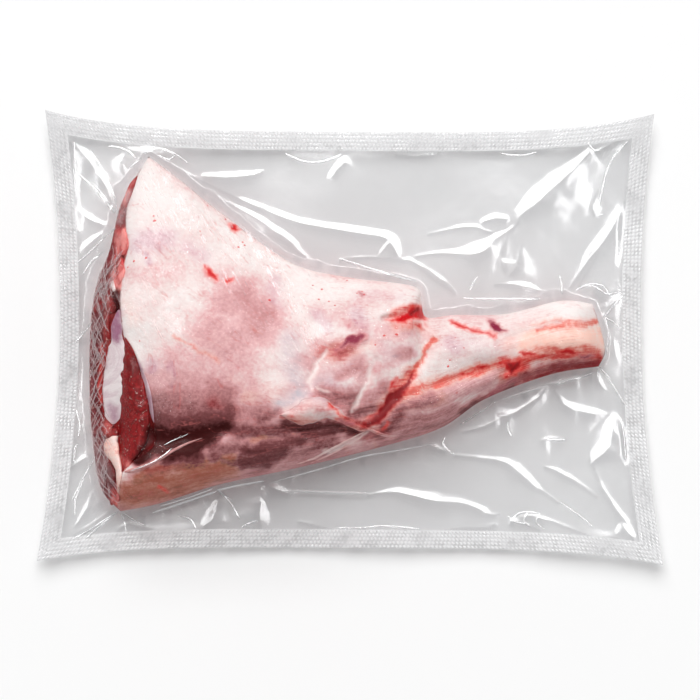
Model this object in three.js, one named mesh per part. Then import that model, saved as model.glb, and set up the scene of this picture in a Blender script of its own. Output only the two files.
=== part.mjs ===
// A raw lamb shank, vacuum-packed in a clear bag that is sealed on all four sides.
// The film clings to the meat, so the pack is one closed solid: a flat bag whose middle
// swells into the shank, with its sloping cut face, its muscle seams and its knuckle.
// Millimetres, +Z up. The pack lies on its underside. The origin is on that surface, below
// the middle of the bag, with +X along the shank towards the knuckle.
import * as THREE from "three";

const { clamp, lerp, smoothstep } = THREE.MathUtils;
const at = (x, y) => new THREE.Vector2(x, y);

// Bag: the flat pouch, a little out of square and narrower along its upper side.
const BAG_LENGTH = 263.5;
const BAG_WIDTH = 191.5;
const OUT_OF_SQUARE = 1.7;
const UPPER_INSET = { left: 3.4, right: 3.7 };

// Bag: how far the contents draw each side in, and how flat that curve is in the side's middle.
const PULLED_IN = { left: 8.0, right: 7.4, upper: 8.4, lower: 6.3 };
const FLATNESS_ACROSS = 2;
const FLATNESS_LENGTHWISE = 4;

// Bag: its seal, the film inside the seal, and how the edges and corners stand.
const SEAL_WIDTH = 8.5;
const FILM_PAIR = 1.8;
const SEAL_THICKNESS = 1.0;
const EDGE_LIFT = 5.0;
const CORNER_CURL = 3.5;
const CURL_SHARPNESS = 4;
const EDGE_WAVE = 0.8;
const EDGE_WAVE_LENGTH = 83;

// Web: the strip of film that runs from the meat's side down to the flat of the bag.
const WEB_WIDTH = 5.0;

// Places on the bag's sides that lie opposite the shank's corners.
const OPPOSITE = {
  lower: [0.135, 0.9],
  upper: [0.17, 0.9],
  left: [0.113, 0.896],
  right: [0.45, 0.58],
};

// Shank: the outline seen from above, one curve for each side.
const LOWER_LEFT = at(-96.4, -73.0);
const APEX = at(-84.6, 76.0);
const KNUCKLE_LOWER = at(105.2, -10.3);
const KNUCKLE_UPPER = at(101.9, 14.1);
const CUT_SIDE = [
  LOWER_LEFT,
  at(-104.8, -62.9),
  at(-108.6, -38.9),
  at(-109.5, -17.9),
  at(-109.0, 5.3),
  at(-106.5, 22.1),
  at(-101.0, 36.8),
  at(-95.9, 57.0),
  APEX,
];
const UPPER_SIDE = [
  APEX,
  at(-71.6, 66.3),
  at(-54.7, 52.8),
  at(-25.3, 31.8),
  at(-2.1, 25.5),
  at(26.1, 21.7),
  at(29.9, 15.8),
  at(32.0, 8.6),
  at(44.2, 9.5),
  at(65.3, 9.9),
  at(88.4, 15.4),
  KNUCKLE_UPPER,
];
const KNUCKLE_SIDE = [KNUCKLE_LOWER, at(107.4, -4.4), at(105.2, 4.8), KNUCKLE_UPPER];
const LOWER_SIDE = [
  LOWER_LEFT,
  at(-80.0, -69.7),
  at(-54.7, -61.7),
  at(-21.1, -54.5),
  at(12.6, -46.1),
  at(37.9, -38.1),
  at(54.7, -26.3),
  at(71.6, -17.9),
  at(88.4, -12.4),
  KNUCKLE_LOWER,
];

// Shank: its thickness at stations along its length, from the cut face to the knuckle.
const THICKNESS = [
  [0.0, 36],
  [0.12, 43],
  [0.34, 46],
  [0.58, 40],
  [0.78, 30],
  [0.9, 26],
  [1.0, 25],
];

// Shank: its section, fuller over the leg than over the thin flap on the upper side.
const CREST = 0.38;
const LEG_SECTION = { power: 2.4, root: 0.5 };
const FLAP_SECTION = { power: 1.8, root: 0.85 };
const FLAP_ENDS = [0.3, 0.7];
const SIDE_HEIGHT_SHARE = 0.42;
const UNDER_HEIGHT_SHARE = 0.2;
const UNDER_FLAT_SHARE = 0.72;
const END_ROUNDING = 0.035;

// Cut face: how much of the shank's length its slope takes, from the lower corner to the apex.
const CUT_SLOPE = [
  [0.0, 0.02],
  [0.1, 0.06],
  [0.24, 0.135],
  [0.42, 0.09],
  [0.6, 0.065],
  [0.85, 0.025],
  [1.0, 0.015],
];

// Relief on the meat: seams between the muscles and the cut face's hollow sink in, and the
// flap of fat and the lip below the cut face stand proud.
const MEAT_RELIEF = [
  { height: -2.6, width: 5.5, path: [at(33, 6), at(25, -16), at(6, -33)] },
  { height: -1.8, width: 5.0, path: [at(-12, 4), at(-16, -16), at(4, -33)] },
  { height: -1.6, width: 4.5, path: [at(96, -7), at(64, -12), at(30, -20)] },
  { height: 3.2, width: 5.5, path: [at(-26, -31), at(-12, -29), at(4, -36)] },
  { height: 2.2, width: 7.0, path: [at(-84, -54), at(-70, -48), at(-58, -40)] },
  { height: -4.0, width: 6.0, path: [at(-90, -4), at(-86, -28), at(-91, -46)] },
];

// Folds of the film, as ridges from the meat to the seal.
const FILM_FOLDS = [
  { height: 3.2, width: 7, path: [at(113, 84), at(74, 51), at(30, 34)] },
  { height: 3.0, width: 6, path: [at(118, 60), at(92, 20)] },
  { height: 2.6, width: 6, path: [at(26, 33), at(46, 17)] },
  { height: 2.8, width: 6, path: [at(-69, 70), at(-22, 49), at(20, 41)] },
  { height: 2.6, width: 6, path: [at(-116, 85), at(-99, 50)] },
  { height: 2.2, width: 5, path: [at(-115, 37), at(-98, 47)] },
  { height: 2.6, width: 6, path: [at(-112, -83), at(-98, -74)] },
  { height: 2.4, width: 5, path: [at(-56, -64), at(-62, -78)] },
  { height: 2.8, width: 7, path: [at(-31, -61), at(8, -65), at(62, -74)] },
  { height: 3.2, width: 7, path: [at(42, -48), at(66, -52), at(110, -83)] },
  { height: 3.2, width: 7, path: [at(116, -31), at(106, -50), at(117, -80)] },
];

// Mesh: the grid's lines across each margin of the bag and along and across the shank.
const MARGIN_LINES = 8;
const WEB_LINES = 1;
const SEAL_LINES = 1;
const SHANK_COLUMNS = 40;
const SHANK_ROWS = 20;
const COLUMN_CROWDING = 0.45;

const PACK_FINISH = { color: 0xe3bdb4, roughness: 0.25, metalness: 0.0 };

// Height between stations, easing in and out at each one.
function along(stations, where) {
  const next = stations.findIndex(([place]) => place >= where);
  if (next <= 0) return stations[Math.max(next, 0)][1];
  const [fromPlace, fromValue] = stations[next - 1];
  const [toPlace, toValue] = stations[next];
  return lerp(fromValue, toValue, smoothstep(where, fromPlace, toPlace));
}

// A soft ridge, or a hollow where its height is negative, along a path on the plan.
function ridges(list, point) {
  return list.reduce((sum, { height, width, path }) => {
    let nearest = Infinity;
    path.slice(1).forEach((end, i) => {
      const start = path[i];
      const run = end.clone().sub(start);
      const share = clamp(point.clone().sub(start).dot(run) / run.lengthSq(), 0, 1);
      nearest = Math.min(nearest, point.distanceTo(start.clone().addScaledVector(run, share)));
    });
    return sum + height * Math.exp(-((nearest / width) ** 2));
  }, 0);
}

// Bag outline: a straight side that the contents draw in, most in the middle.
function bagSide(from, to, pull, flatness) {
  const inward = at(from.y - to.y, to.x - from.x).normalize();
  return (share) => {
    const bow = pull * (1 - Math.abs(2 * share - 1) ** flatness);
    return from.clone().lerp(to, share).addScaledVector(inward, bow);
  };
}
const lowerLeft = at(-BAG_LENGTH / 2, -BAG_WIDTH / 2 + OUT_OF_SQUARE);
const lowerRight = at(BAG_LENGTH / 2, -BAG_WIDTH / 2);
const upperRight = at(BAG_LENGTH / 2 - UPPER_INSET.right, BAG_WIDTH / 2 - OUT_OF_SQUARE);
const upperLeft = at(-BAG_LENGTH / 2 + UPPER_INSET.left, BAG_WIDTH / 2);
const bagLower = bagSide(lowerLeft, lowerRight, PULLED_IN.lower, FLATNESS_LENGTHWISE);
const bagUpper = bagSide(upperLeft, upperRight, -PULLED_IN.upper, FLATNESS_LENGTHWISE);
const bagLeft = bagSide(lowerLeft, upperLeft, -PULLED_IN.left, FLATNESS_ACROSS);
const bagRight = bagSide(lowerRight, upperRight, PULLED_IN.right, FLATNESS_ACROSS);

// Shank outline: the four sides by share of their own length, and the sheet between them.
const cutSide = new THREE.SplineCurve(CUT_SIDE);
const upperSide = new THREE.SplineCurve(UPPER_SIDE);
const knuckleSide = new THREE.SplineCurve(KNUCKLE_SIDE);
const lowerSide = new THREE.SplineCurve(LOWER_SIDE);

function shankPlan(u, v) {
  const lengthwise = lowerSide.getPointAt(u).lerp(upperSide.getPointAt(u), v);
  const across = cutSide.getPointAt(v).lerp(knuckleSide.getPointAt(v), u);
  const lower = LOWER_LEFT.clone().lerp(KNUCKLE_LOWER, u);
  const upper = APEX.clone().lerp(KNUCKLE_UPPER, u);
  return lengthwise.add(across).sub(lower.lerp(upper, v));
}

const spread = ([first, last], share) => lerp(first, last, share);

// Share of the way from the meat to the bag's edge for one line of a margin: web, film, seal.
function marginShare(line, length) {
  const seal = SEAL_WIDTH / length;
  const web = Math.min(WEB_WIDTH / length, (1 - seal) / 2);
  const filmLines = MARGIN_LINES - WEB_LINES - SEAL_LINES;
  if (line <= WEB_LINES) return (web * line) / WEB_LINES;
  const film = Math.min((line - WEB_LINES) / filmLines, 1);
  const past = Math.max(line - WEB_LINES - filmLines, 0) / SEAL_LINES;
  return lerp(web, 1 - seal, film) + seal * past;
}

// Plan point of a grid line: inside the shank, on one margin, or on a corner between two.
function planPoint(column, row) {
  const left = Math.max(MARGIN_LINES - column, 0);
  const right = Math.max(column - MARGIN_LINES - SHANK_COLUMNS, 0);
  const below = Math.max(MARGIN_LINES - row, 0);
  const above = Math.max(row - MARGIN_LINES - SHANK_ROWS, 0);
  const even = clamp((column - MARGIN_LINES) / SHANK_COLUMNS, 0, 1);
  const crowded = (1 - Math.cos(Math.PI * even)) / 2;
  const u = lerp(even, crowded, COLUMN_CROWDING);
  const v = clamp((row - MARGIN_LINES) / SHANK_ROWS, 0, 1);
  const meat = shankPlan(u, v);
  const sideEdge = left ? bagLeft(spread(OPPOSITE.left, v)) : bagRight(spread(OPPOSITE.right, v));
  const endEdge = below ? bagLower(spread(OPPOSITE.lower, u)) : bagUpper(spread(OPPOSITE.upper, u));
  const sideways = left || right ? marginShare(left || right, meat.distanceTo(sideEdge)) : 0;
  const endways = below || above ? marginShare(below || above, meat.distanceTo(endEdge)) : 0;
  const corner = below ? (left ? lowerLeft : lowerRight) : left ? upperLeft : upperRight;
  const near = meat.clone().lerp(sideEdge, sideways);
  const far = endEdge.clone().lerp(corner, sideways);
  const inSeal = Math.max(left, right, below, above) > MARGIN_LINES - SEAL_LINES;
  return { plan: near.lerp(far, endways), u, v, onMeat: !(left || right || below || above), inSeal };
}

// Height of the flat of the bag: lifted off the surface, curled up at the corners, a little wavy.
function bagHeight({ x, y }) {
  const corner = Math.abs((4 * x * y) / (BAG_LENGTH * BAG_WIDTH)) ** CURL_SHARPNESS;
  const wave = Math.sin((2 * Math.PI * (x - y)) / EDGE_WAVE_LENGTH);
  return EDGE_LIFT + CORNER_CURL * corner + EDGE_WAVE * wave;
}

// Upper face of the meat: a rounded section, cut down by the sloping face and the knuckle's end.
function meatTop({ plan, u, v }) {
  const thickness = along(THICKNESS, u);
  const side = SIDE_HEIGHT_SHARE * thickness;
  const fromCrest = v > CREST ? (v - CREST) / (1 - CREST) : (CREST - v) / CREST;
  const flap = v > CREST ? 1 - smoothstep(u, ...FLAP_ENDS) : 0;
  const power = lerp(LEG_SECTION.power, FLAP_SECTION.power, flap);
  const root = lerp(LEG_SECTION.root, FLAP_SECTION.root, flap);
  const round = (1 - fromCrest ** power) ** root;
  const cut = smoothstep(u / along(CUT_SLOPE, v), 0, 1);
  const knuckle = smoothstep((1 - u) / END_ROUNDING, 0, 1);
  const rise = round * cut * knuckle;
  return side + (thickness - side + ridges(MEAT_RELIEF, plan)) * rise;
}

// Underside of the meat: flat where it lies, turned up at its sides and ends.
function meatUnder({ u, v }) {
  const acrossTurn = smoothstep(Math.abs(2 * v - 1), UNDER_FLAT_SHARE, 1);
  const endTurn = smoothstep(Math.abs(2 * u - 1), 1 - 2 * END_ROUNDING, 1);
  return UNDER_HEIGHT_SHARE * along(THICKNESS, u) * Math.max(acrossTurn, endTurn);
}

function topHeight(place) {
  if (place.onMeat) return meatTop(place);
  const thickness = place.inSeal ? SEAL_THICKNESS : FILM_PAIR;
  const folds = place.inSeal ? 0 : ridges(FILM_FOLDS, place.plan);
  return bagHeight(place.plan) + thickness / 2 + folds;
}

function underHeight(place) {
  if (place.onMeat) return meatUnder(place);
  const thickness = place.inSeal ? SEAL_THICKNESS : FILM_PAIR;
  return bagHeight(place.plan) - thickness / 2;
}

// The pack: a slab of grid cells, each corner moved to its place on the plan and its height.
function packedShank() {
  const columns = 2 * MARGIN_LINES + SHANK_COLUMNS;
  const rows = 2 * MARGIN_LINES + SHANK_ROWS;
  const geometry = new THREE.BoxGeometry(columns, rows, 1, columns, rows, 1);
  const position = geometry.getAttribute("position");
  for (let i = 0; i < position.count; i += 1) {
    const column = Math.round(position.getX(i) + columns / 2);
    const row = Math.round(position.getY(i) + rows / 2);
    const place = planPoint(column, row);
    const height = position.getZ(i) > 0 ? topHeight(place) : underHeight(place);
    position.setXYZ(i, place.plan.x, place.plan.y, height);
  }
  geometry.computeVertexNormals();
  const pack = new THREE.Mesh(geometry, new THREE.MeshStandardMaterial(PACK_FINISH));
  pack.name = "packed_shank";
  return pack;
}

const part = new THREE.Group();
part.add(packedShank());
export default part;
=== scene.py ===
# %% [markdown]
# # A raw lamb shank in a clear vacuum bag
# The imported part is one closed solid: a flat bag whose middle swells into a lamb shank. Here that solid
# is hidden, and the meat, the two sheets of film and the welded seal are modelled in its place. Every
# height is measured on the solid, so the dressed part keeps its form.

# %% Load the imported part
import math

import bmesh
import bpy
import numpy as np
from mathutils import Matrix, Vector, noise
from mathutils.bvhtree import BVHTree
from mathutils.kdtree import KDTree


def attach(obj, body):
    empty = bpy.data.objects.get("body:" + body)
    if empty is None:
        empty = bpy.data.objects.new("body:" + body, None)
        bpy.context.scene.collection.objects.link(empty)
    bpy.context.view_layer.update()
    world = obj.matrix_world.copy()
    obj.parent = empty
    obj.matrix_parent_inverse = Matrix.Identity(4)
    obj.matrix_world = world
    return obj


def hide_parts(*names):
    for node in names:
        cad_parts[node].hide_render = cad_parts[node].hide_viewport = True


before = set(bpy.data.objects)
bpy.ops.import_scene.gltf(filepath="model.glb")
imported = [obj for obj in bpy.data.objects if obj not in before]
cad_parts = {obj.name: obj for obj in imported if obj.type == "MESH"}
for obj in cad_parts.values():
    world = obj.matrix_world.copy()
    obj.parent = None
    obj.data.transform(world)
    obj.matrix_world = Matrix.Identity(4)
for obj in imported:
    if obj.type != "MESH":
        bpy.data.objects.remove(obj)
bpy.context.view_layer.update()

NODE = "packed_shank"
BODY = "root"
MM = 0.001

# %% [markdown]
# ## Looking straight down
# The pack is seen from right above. A camera far away with a long lens keeps the sides of the meat from
# showing, as they don't in a product picture. The same view gives a handy ruler: one pixel of the 700
# pixel frame is 0.421 mm on the bag, so a spot on the meat can be named by its pixel.

# %% Camera and the pixel ruler
PIXEL = 0.421 * MM
FRAME_PIXELS = 700
PLAN_ORIGIN = np.array([350.0, 337.5])
BAG_PLANE = 6.0 * MM
CAMERA_DISTANCE = 3.0


def on_plan(pixels):
    """Pixels of the frame as metres on the plane that the pack lies on."""
    return (np.asarray(pixels, float)[..., :2] - PLAN_ORIGIN) * (PIXEL, -PIXEL)


def in_pixels(places):
    """Metres on that plane as pixels of the frame."""
    return np.asarray(places, float)[..., :2] / (PIXEL, -PIXEL) + PLAN_ORIGIN


camera_data = bpy.data.cameras.new("camera")
camera_data.lens = camera_data.sensor_width * CAMERA_DISTANCE / (FRAME_PIXELS * PIXEL)
camera = bpy.data.objects.new("camera", camera_data)
frame_middle = on_plan((FRAME_PIXELS / 2, FRAME_PIXELS / 2))
camera.location = (*frame_middle, BAG_PLANE + CAMERA_DISTANCE)
bpy.context.scene.collection.objects.link(camera)
bpy.context.scene.camera = camera
print("lens in mm:", round(camera_data.lens))

# %% [markdown]
# ## Light
# One large soft box stands beyond the upper edge of the frame, so the meat's shadow falls towards the
# viewer. Film shows itself only by what it mirrors, so a half circle of bright cards stands closer by.
# The cards light no matt surface: only gloss sees them, which whitens the film where it tilts.

# %% Soft box and cards
KEY = dict(azimuth=-6, elevation=52, distance=6.0, width=4.4, height=4.6, radiance=4.4)
CARD_AZIMUTHS = (-100, -64, -32, -10, 12, 44, 76, 108)
CARD = dict(elevation=50, distance=0.9, width=0.36, height=0.42, radiance=8.0)


def soft_box(name, azimuth, elevation, distance, width, height, radiance, gloss_only=False):
    """A rectangular light that faces the pack. Azimuth turns from the frame's upper side to its right."""
    data = bpy.data.lights.new(name, "AREA")
    data.shape = "RECTANGLE"
    data.size = width
    data.size_y = height
    data.energy = radiance * math.pi * width * height
    light = bpy.data.objects.new(name, data)
    turn = math.radians(azimuth)
    rise = math.radians(elevation)
    away = Vector((math.sin(turn) * math.cos(rise), math.cos(turn) * math.cos(rise), math.sin(rise)))
    light.location = away * distance
    light.rotation_euler = away.to_track_quat("Z", "Y").to_euler()
    light.visible_camera = False
    light.visible_diffuse = not gloss_only
    light.visible_glossy = gloss_only
    bpy.context.scene.collection.objects.link(light)


soft_box("key_box", **KEY)
for card_azimuth in CARD_AZIMUTHS:
    soft_box(f"card_{card_azimuth}", card_azimuth, gloss_only=True, **CARD)
bpy.context.scene.view_settings.view_transform = "Standard"
print("cards:", len(CARD_AZIMUTHS))

# %% [markdown]
# ## A helper for shader nodes
# A shader is a small graph. One helper adds a node, sets its options and fills its sockets, with a value
# or with another node's output, so each finish below reads as a list of steps.

# %% Node helpers


def node(tree, kind, inputs=None, **settings):
    """A new node with its options set and its sockets filled or linked."""
    made = tree.nodes.new(kind)
    for name, value in settings.items():
        setattr(made, name, value)
    for key, value in (inputs or {}).items():
        if isinstance(value, bpy.types.NodeSocket):
            tree.links.new(value, made.inputs[key])
        else:
            made.inputs[key].default_value = value
    return made


def maths(tree, operation, *values, clamp=False):
    """One step of arithmetic on values or outputs."""
    sockets = dict(enumerate(values))
    return node(tree, "ShaderNodeMath", sockets, operation=operation, use_clamp=clamp).outputs[0]


def blend(tree, share, first, second, way="MIX"):
    """Two colours mixed by a share. The way DARKEN lets the second one only darken the first."""
    sockets = {0: share, 6: first, 7: second}
    return node(tree, "ShaderNodeMix", sockets, data_type="RGBA", blend_type=way).outputs[2]


def ramp(tree, value, low, high, to_low=0.0, to_high=1.0):
    """A value between low and high, moved to another span and held at its ends."""
    spans = {"Value": value, "From Min": low, "From Max": high, "To Min": to_low, "To Max": to_high}
    return node(tree, "ShaderNodeMapRange", spans, interpolation_type="SMOOTHSTEP").outputs["Result"]


def painted(tree, name):
    """The value painted on a piece's points under that name."""
    return node(tree, "ShaderNodeAttribute", attribute_name=name).outputs["Fac"]


def colour(red, green, blue):
    """A colour as a screen shows it, 0 to 255, in the linear values that shaders take."""
    shares = np.array([red, green, blue]) / 255
    linear = np.where(shares <= 0.04045, shares / 12.92, ((shares + 0.055) / 1.055) ** 2.4)
    return (*linear, 1.0)


def new_material(name):
    """An empty node material and its output."""
    material = bpy.data.materials.new(name)
    material.use_nodes = True
    material.node_tree.nodes.clear()
    return material, material.node_tree, material.node_tree.nodes.new("ShaderNodeOutputMaterial")


print("middle grey as a linear value:", round(float(colour(128, 128, 128)[0]), 3))

# %% [markdown]
# ## World and floor
# The world is plain white, and three kinds of rays see it at strengths of their own. Past the floor the
# camera sees it nearly white, matt surfaces get a soft fill from it, and for gloss it brightens towards
# the soft box, so that slack film shows its gentle waves. The floor catches the shadow and is no part of
# the object.

# %% World light
FILL_STRENGTH = 0.49
BACKDROP_STRENGTH = 0.99
SHEEN = dict(low=0.84, high=0.99, to_low=0.05, to_high=2.3)

world = bpy.data.worlds.new("studio")
world.use_nodes = True
world_tree = world.node_tree
path = node(world_tree, "ShaderNodeLightPath").outputs
outwards = node(world_tree, "ShaderNodeTexCoord").outputs["Generated"]
rise = math.radians(KEY["elevation"])
towards_key = node(world_tree, "ShaderNodeVectorMath",
                   {0: outwards, 1: (0.0, math.cos(rise), math.sin(rise))},
                   operation="DOT_PRODUCT").outputs["Value"]
plain = ramp(world_tree, path["Is Camera Ray"], 0.0, 1.0, FILL_STRENGTH, BACKDROP_STRENGTH)
sheen = ramp(world_tree, towards_key, **SHEEN)
strength = node(world_tree, "ShaderNodeMix", {0: path["Is Glossy Ray"], 2: plain, 3: sheen}).outputs[0]
world_tree.links.new(strength, world_tree.nodes["Background"].inputs["Strength"])
world_tree.nodes["Background"].inputs["Color"].default_value = (1.0, 1.0, 1.0, 1.0)
bpy.context.scene.world = world
print("strength of the fill:", FILL_STRENGTH)

# %% Floor
FLOOR_SIDE = 6.0
FLOOR_LEVEL = -0.3 * MM
FLOOR_GRAIN = 9.0
FLOOR_TONES = ((0.97, 0.97, 0.97, 1), (0.98, 0.98, 0.98, 1))

floor_material, floor_tree, floor_output = new_material("pale_floor")
floor_place = node(floor_tree, "ShaderNodeTexCoord").outputs["Object"]
floor_noise = node(floor_tree, "ShaderNodeTexNoise", {"Vector": floor_place, "Scale": FLOOR_GRAIN})
floor_colour = blend(floor_tree, floor_noise.outputs["Fac"], *FLOOR_TONES)
floor_shader = node(floor_tree, "ShaderNodeBsdfDiffuse", {"Color": floor_colour})
floor_tree.links.new(floor_shader.outputs[0], floor_output.inputs["Surface"])
floor_bm = bmesh.new()
bmesh.ops.create_grid(floor_bm, x_segments=1, y_segments=1, size=FLOOR_SIDE / 2)
bmesh.ops.translate(floor_bm, verts=floor_bm.verts, vec=(0, 0, FLOOR_LEVEL))
floor_mesh = bpy.data.meshes.new("floor")
floor_bm.to_mesh(floor_mesh)
floor_bm.free()
floor_mesh.materials.append(floor_material)
floor = bpy.data.objects.new("floor", floor_mesh)
bpy.context.scene.collection.objects.link(floor)
print("floor side in m:", FLOOR_SIDE)

# %% [markdown]
# ## Lines, sheets and pieces
# Meat and film are soft sheets, so most shapes here are a grid whose corners are moved to their places.
# `create_grid` makes the faces, and numpy works out where the corners go. Merging the doubles then closes
# two sheets into a body, or a rolled sheet into a strip.

# %% Smooth lines
EVEN_STEPS = 40
SEED_SHIFT = (7.3, 3.1, 5.7)


def smooth_line(points, steps=8):
    """A line through points: a uniform Catmull-Rom spline whose end points count twice."""
    points = np.asarray(points, float)
    padded = np.vstack([points[:1], points, points[-1:]])
    share = np.linspace(0, 1, steps, endpoint=False)[None, :, None]
    before, start, end, after = (padded[k : len(padded) - 3 + k, None] for k in range(4))
    leave = (end - before) / 2
    arrive = (after - start) / 2
    curve = (2 * start - 2 * end + leave + arrive) * share**3
    curve += (3 * end - 3 * start - 2 * leave - arrive) * share**2 + leave * share + start
    return np.vstack([curve.reshape(-1, points.shape[1]), points[-1:]])


def even_line(points, shares):
    """Places at those shares of the length of a smooth line."""
    line = smooth_line(points, EVEN_STEPS)
    run = np.concatenate([[0.0], np.cumsum(np.hypot(*np.diff(line[:, :2], axis=0).T))])
    return np.stack([np.interp(np.asarray(shares) * run[-1], run, column) for column in line.T], axis=-1)


def soft_step(value, low, high):
    """A share from 0 to 1 that eases in and out between low and high."""
    share = np.clip((value - low) / (high - low), 0, 1)
    return share * share * (3 - 2 * share)


def smoothed(field, passes):
    """A grid of heights with its bumps averaged out, its rim held."""
    field = field.copy()
    for _ in range(passes):
        field[1:-1] = (field[:-2] + 2 * field[1:-1] + field[2:]) / 4
        field[:, 1:-1] = (field[:, :-2] + 2 * field[:, 1:-1] + field[:, 2:]) / 4
    return field


def ripple(places, length, seed):
    """Smooth noise from about -1 to 1 at each place, with hills about that length apart."""
    shift = Vector([seed * part for part in SEED_SHIFT])
    flat = np.asarray(places, float).reshape(-1, np.shape(places)[-1])
    values = [noise.noise(Vector((*p[:2], 0.0)) / length + shift) for p in flat]
    return np.array(values).reshape(np.shape(places)[:-1])


print("a soft step at a quarter of its way:", round(float(soft_step(0.25, 0.0, 1.0)), 3))

# %% Grids into pieces
MERGE_DISTANCE = 0.001 * MM


def add_sheet(bm, places):
    """A grid of faces with its corners at places, an array of columns and rows of points."""
    columns, rows = places.shape[:2]
    made = bmesh.ops.create_grid(bm, x_segments=columns - 1, y_segments=rows - 1, size=0.5)["verts"]
    for vertex, place in zip(made, places.transpose(1, 0, 2).reshape(-1, 3)):
        vertex.co = place
    return made


def with_height(plan, height):
    """Places on the plan and their heights as points."""
    return np.concatenate([plan, height[..., None]], axis=-1)


def finish_piece(bm, name, material, closed=True):
    """The bmesh as a smooth object that rides on the part and stands for its solid."""
    if closed:
        bmesh.ops.remove_doubles(bm, verts=bm.verts, dist=MERGE_DISTANCE)
        bmesh.ops.recalc_face_normals(bm, faces=bm.faces)
    for face in bm.faces:
        face.smooth = True
    mesh = bpy.data.meshes.new(name)
    bm.to_mesh(mesh)
    bm.free()
    mesh.materials.append(material)
    piece = bpy.data.objects.new(name, mesh)
    bpy.context.scene.collection.objects.link(piece)
    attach(piece, BODY)
    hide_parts(NODE)
    print(name, "faces:", len(mesh.polygons))
    return piece


print("corners merge within mm:", MERGE_DISTANCE / MM)

# %% Heights measured on pieces
SKY = 1.0
UP = Vector((0, 0, 1))


def corners_of(piece):
    """A piece's vertices as an array of points."""
    places = np.empty(len(piece.data.vertices) * 3)
    piece.data.vertices.foreach_get("co", places)
    return places.reshape(-1, 3)


def surface_of(*pieces):
    """A search tree over the faces of some pieces, for measuring heights on them."""
    bm = bmesh.new()
    for piece in pieces:
        bm.from_mesh(piece.data)
    tree = BVHTree.FromBMesh(bm)
    bm.free()
    return tree


def height_on(tree, plan, missing=0.0, below=False):
    """The height of a surface over each place of the plan, seen from above or from below."""
    flat = np.asarray(plan, float)[..., :2].reshape(-1, 2)
    start, way = (-SKY, UP) if below else (SKY, -UP)
    hits = (tree.ray_cast(Vector((x, y, start)), way)[0] for x, y in flat)
    return np.array([missing if hit is None else hit.z for hit in hits]).reshape(np.shape(plan)[:-1])


solid = surface_of(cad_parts[NODE])
print("solid's height at the origin in mm:", height_on(solid, np.zeros((1, 2))).round(4) / MM)

# %% [markdown]
# ## The shank
# A lamb shank is the lower leg: a fan of thin muscle and fat at the cut end that narrows to the knuckle.
# Its four sides follow the part's source, with the foot of the knuckle's lower flank drawn a little
# further out. A Coons patch spreads a grid between them, the solid gives each corner its height, and the
# rim is turned under so that top and underside meet.

# %% Sides of the shank
LOWER_LEFT = (-96.4, -73.0)
APEX = (-84.6, 76.0)
KNUCKLE_LOWER = (104.6, -12.2)
KNUCKLE_UPPER = (101.9, 14.1)
CUT_SIDE = [LOWER_LEFT, (-104.8, -62.9), (-108.6, -38.9), (-109.5, -17.9), (-109.0, 5.3),
            (-106.5, 22.1), (-101.0, 36.8), (-95.9, 57.0), APEX]
UPPER_SIDE = [APEX, (-71.6, 66.3), (-54.7, 52.8), (-25.3, 31.8), (-2.1, 25.5), (26.1, 21.7),
              (29.9, 15.8), (32.0, 8.6), (44.2, 9.5), (65.3, 9.9), (88.4, 15.4), KNUCKLE_UPPER]
KNUCKLE_SIDE = [KNUCKLE_LOWER, (107.4, -5.4), (105.2, 4.8), KNUCKLE_UPPER]
LOWER_SIDE = [LOWER_LEFT, (-80.0, -69.7), (-54.7, -61.7), (-21.1, -54.5), (12.6, -46.1),
              (37.9, -38.1), (54.7, -27.0), (71.6, -19.8), (88.4, -14.6), KNUCKLE_LOWER]
LENGTHWISE_CELLS = 400
ACROSS_CELLS = 180


def shank_plan():
    """The plan of the shank as a grid, from the cut side to the knuckle and from lower to upper side."""
    u = np.linspace(0, 1, LENGTHWISE_CELLS + 1)
    v = np.linspace(0, 1, ACROSS_CELLS + 1)
    lower, upper = (even_line(side, u)[:, None] for side in (LOWER_SIDE, UPPER_SIDE))
    left, right = (even_line(side, v)[None] for side in (CUT_SIDE, KNUCKLE_SIDE))
    u = u[:, None, None]
    v = v[None, :, None]
    corners = (1 - u) * ((1 - v) * np.array(LOWER_LEFT) + v * np.array(APEX))
    corners = corners + u * ((1 - v) * np.array(KNUCKLE_LOWER) + v * np.array(KNUCKLE_UPPER))
    return (lower * (1 - v) + upper * v + left * (1 - u) + right * u - corners) * MM


plan = shank_plan()
print("shank's plan in mm:", (np.ptp(plan.reshape(-1, 2), axis=0) / MM).round(1))

# %% Heights of the shank
FILM_ALLOWANCE = 0.8 * MM
UNDER_ALLOWANCE = 0.5 * MM
EDGE_INSET = 0.992
FACET_PASSES = 40
ROUNDING = 7.0 * MM
CUT_ROUNDING = 3.0 * MM
RIM_OF_TOP = 0.55
RIM_OF_UNDER = 0.45


def from_rim(plan):
    """How far each grid point lies inside the shank's sides and inside its two ends."""
    across = np.linspace(0, 1, plan.shape[1])
    width = np.linalg.norm(np.diff(plan, axis=1), axis=-1).sum(axis=1)
    along = np.linspace(0, 1, plan.shape[0])
    length = np.linalg.norm(np.diff(plan, axis=0), axis=-1).sum(axis=0)
    sides = np.minimum(across, 1 - across)[None] * width[:, None]
    return sides, along[:, None] * length[None], (1 - along)[:, None] * length[None]


def rounded(share):
    """A quarter circle: steep at the rim, level further in."""
    return np.sqrt(1 - (1 - np.clip(share, 0, 1)) ** 2)


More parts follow.
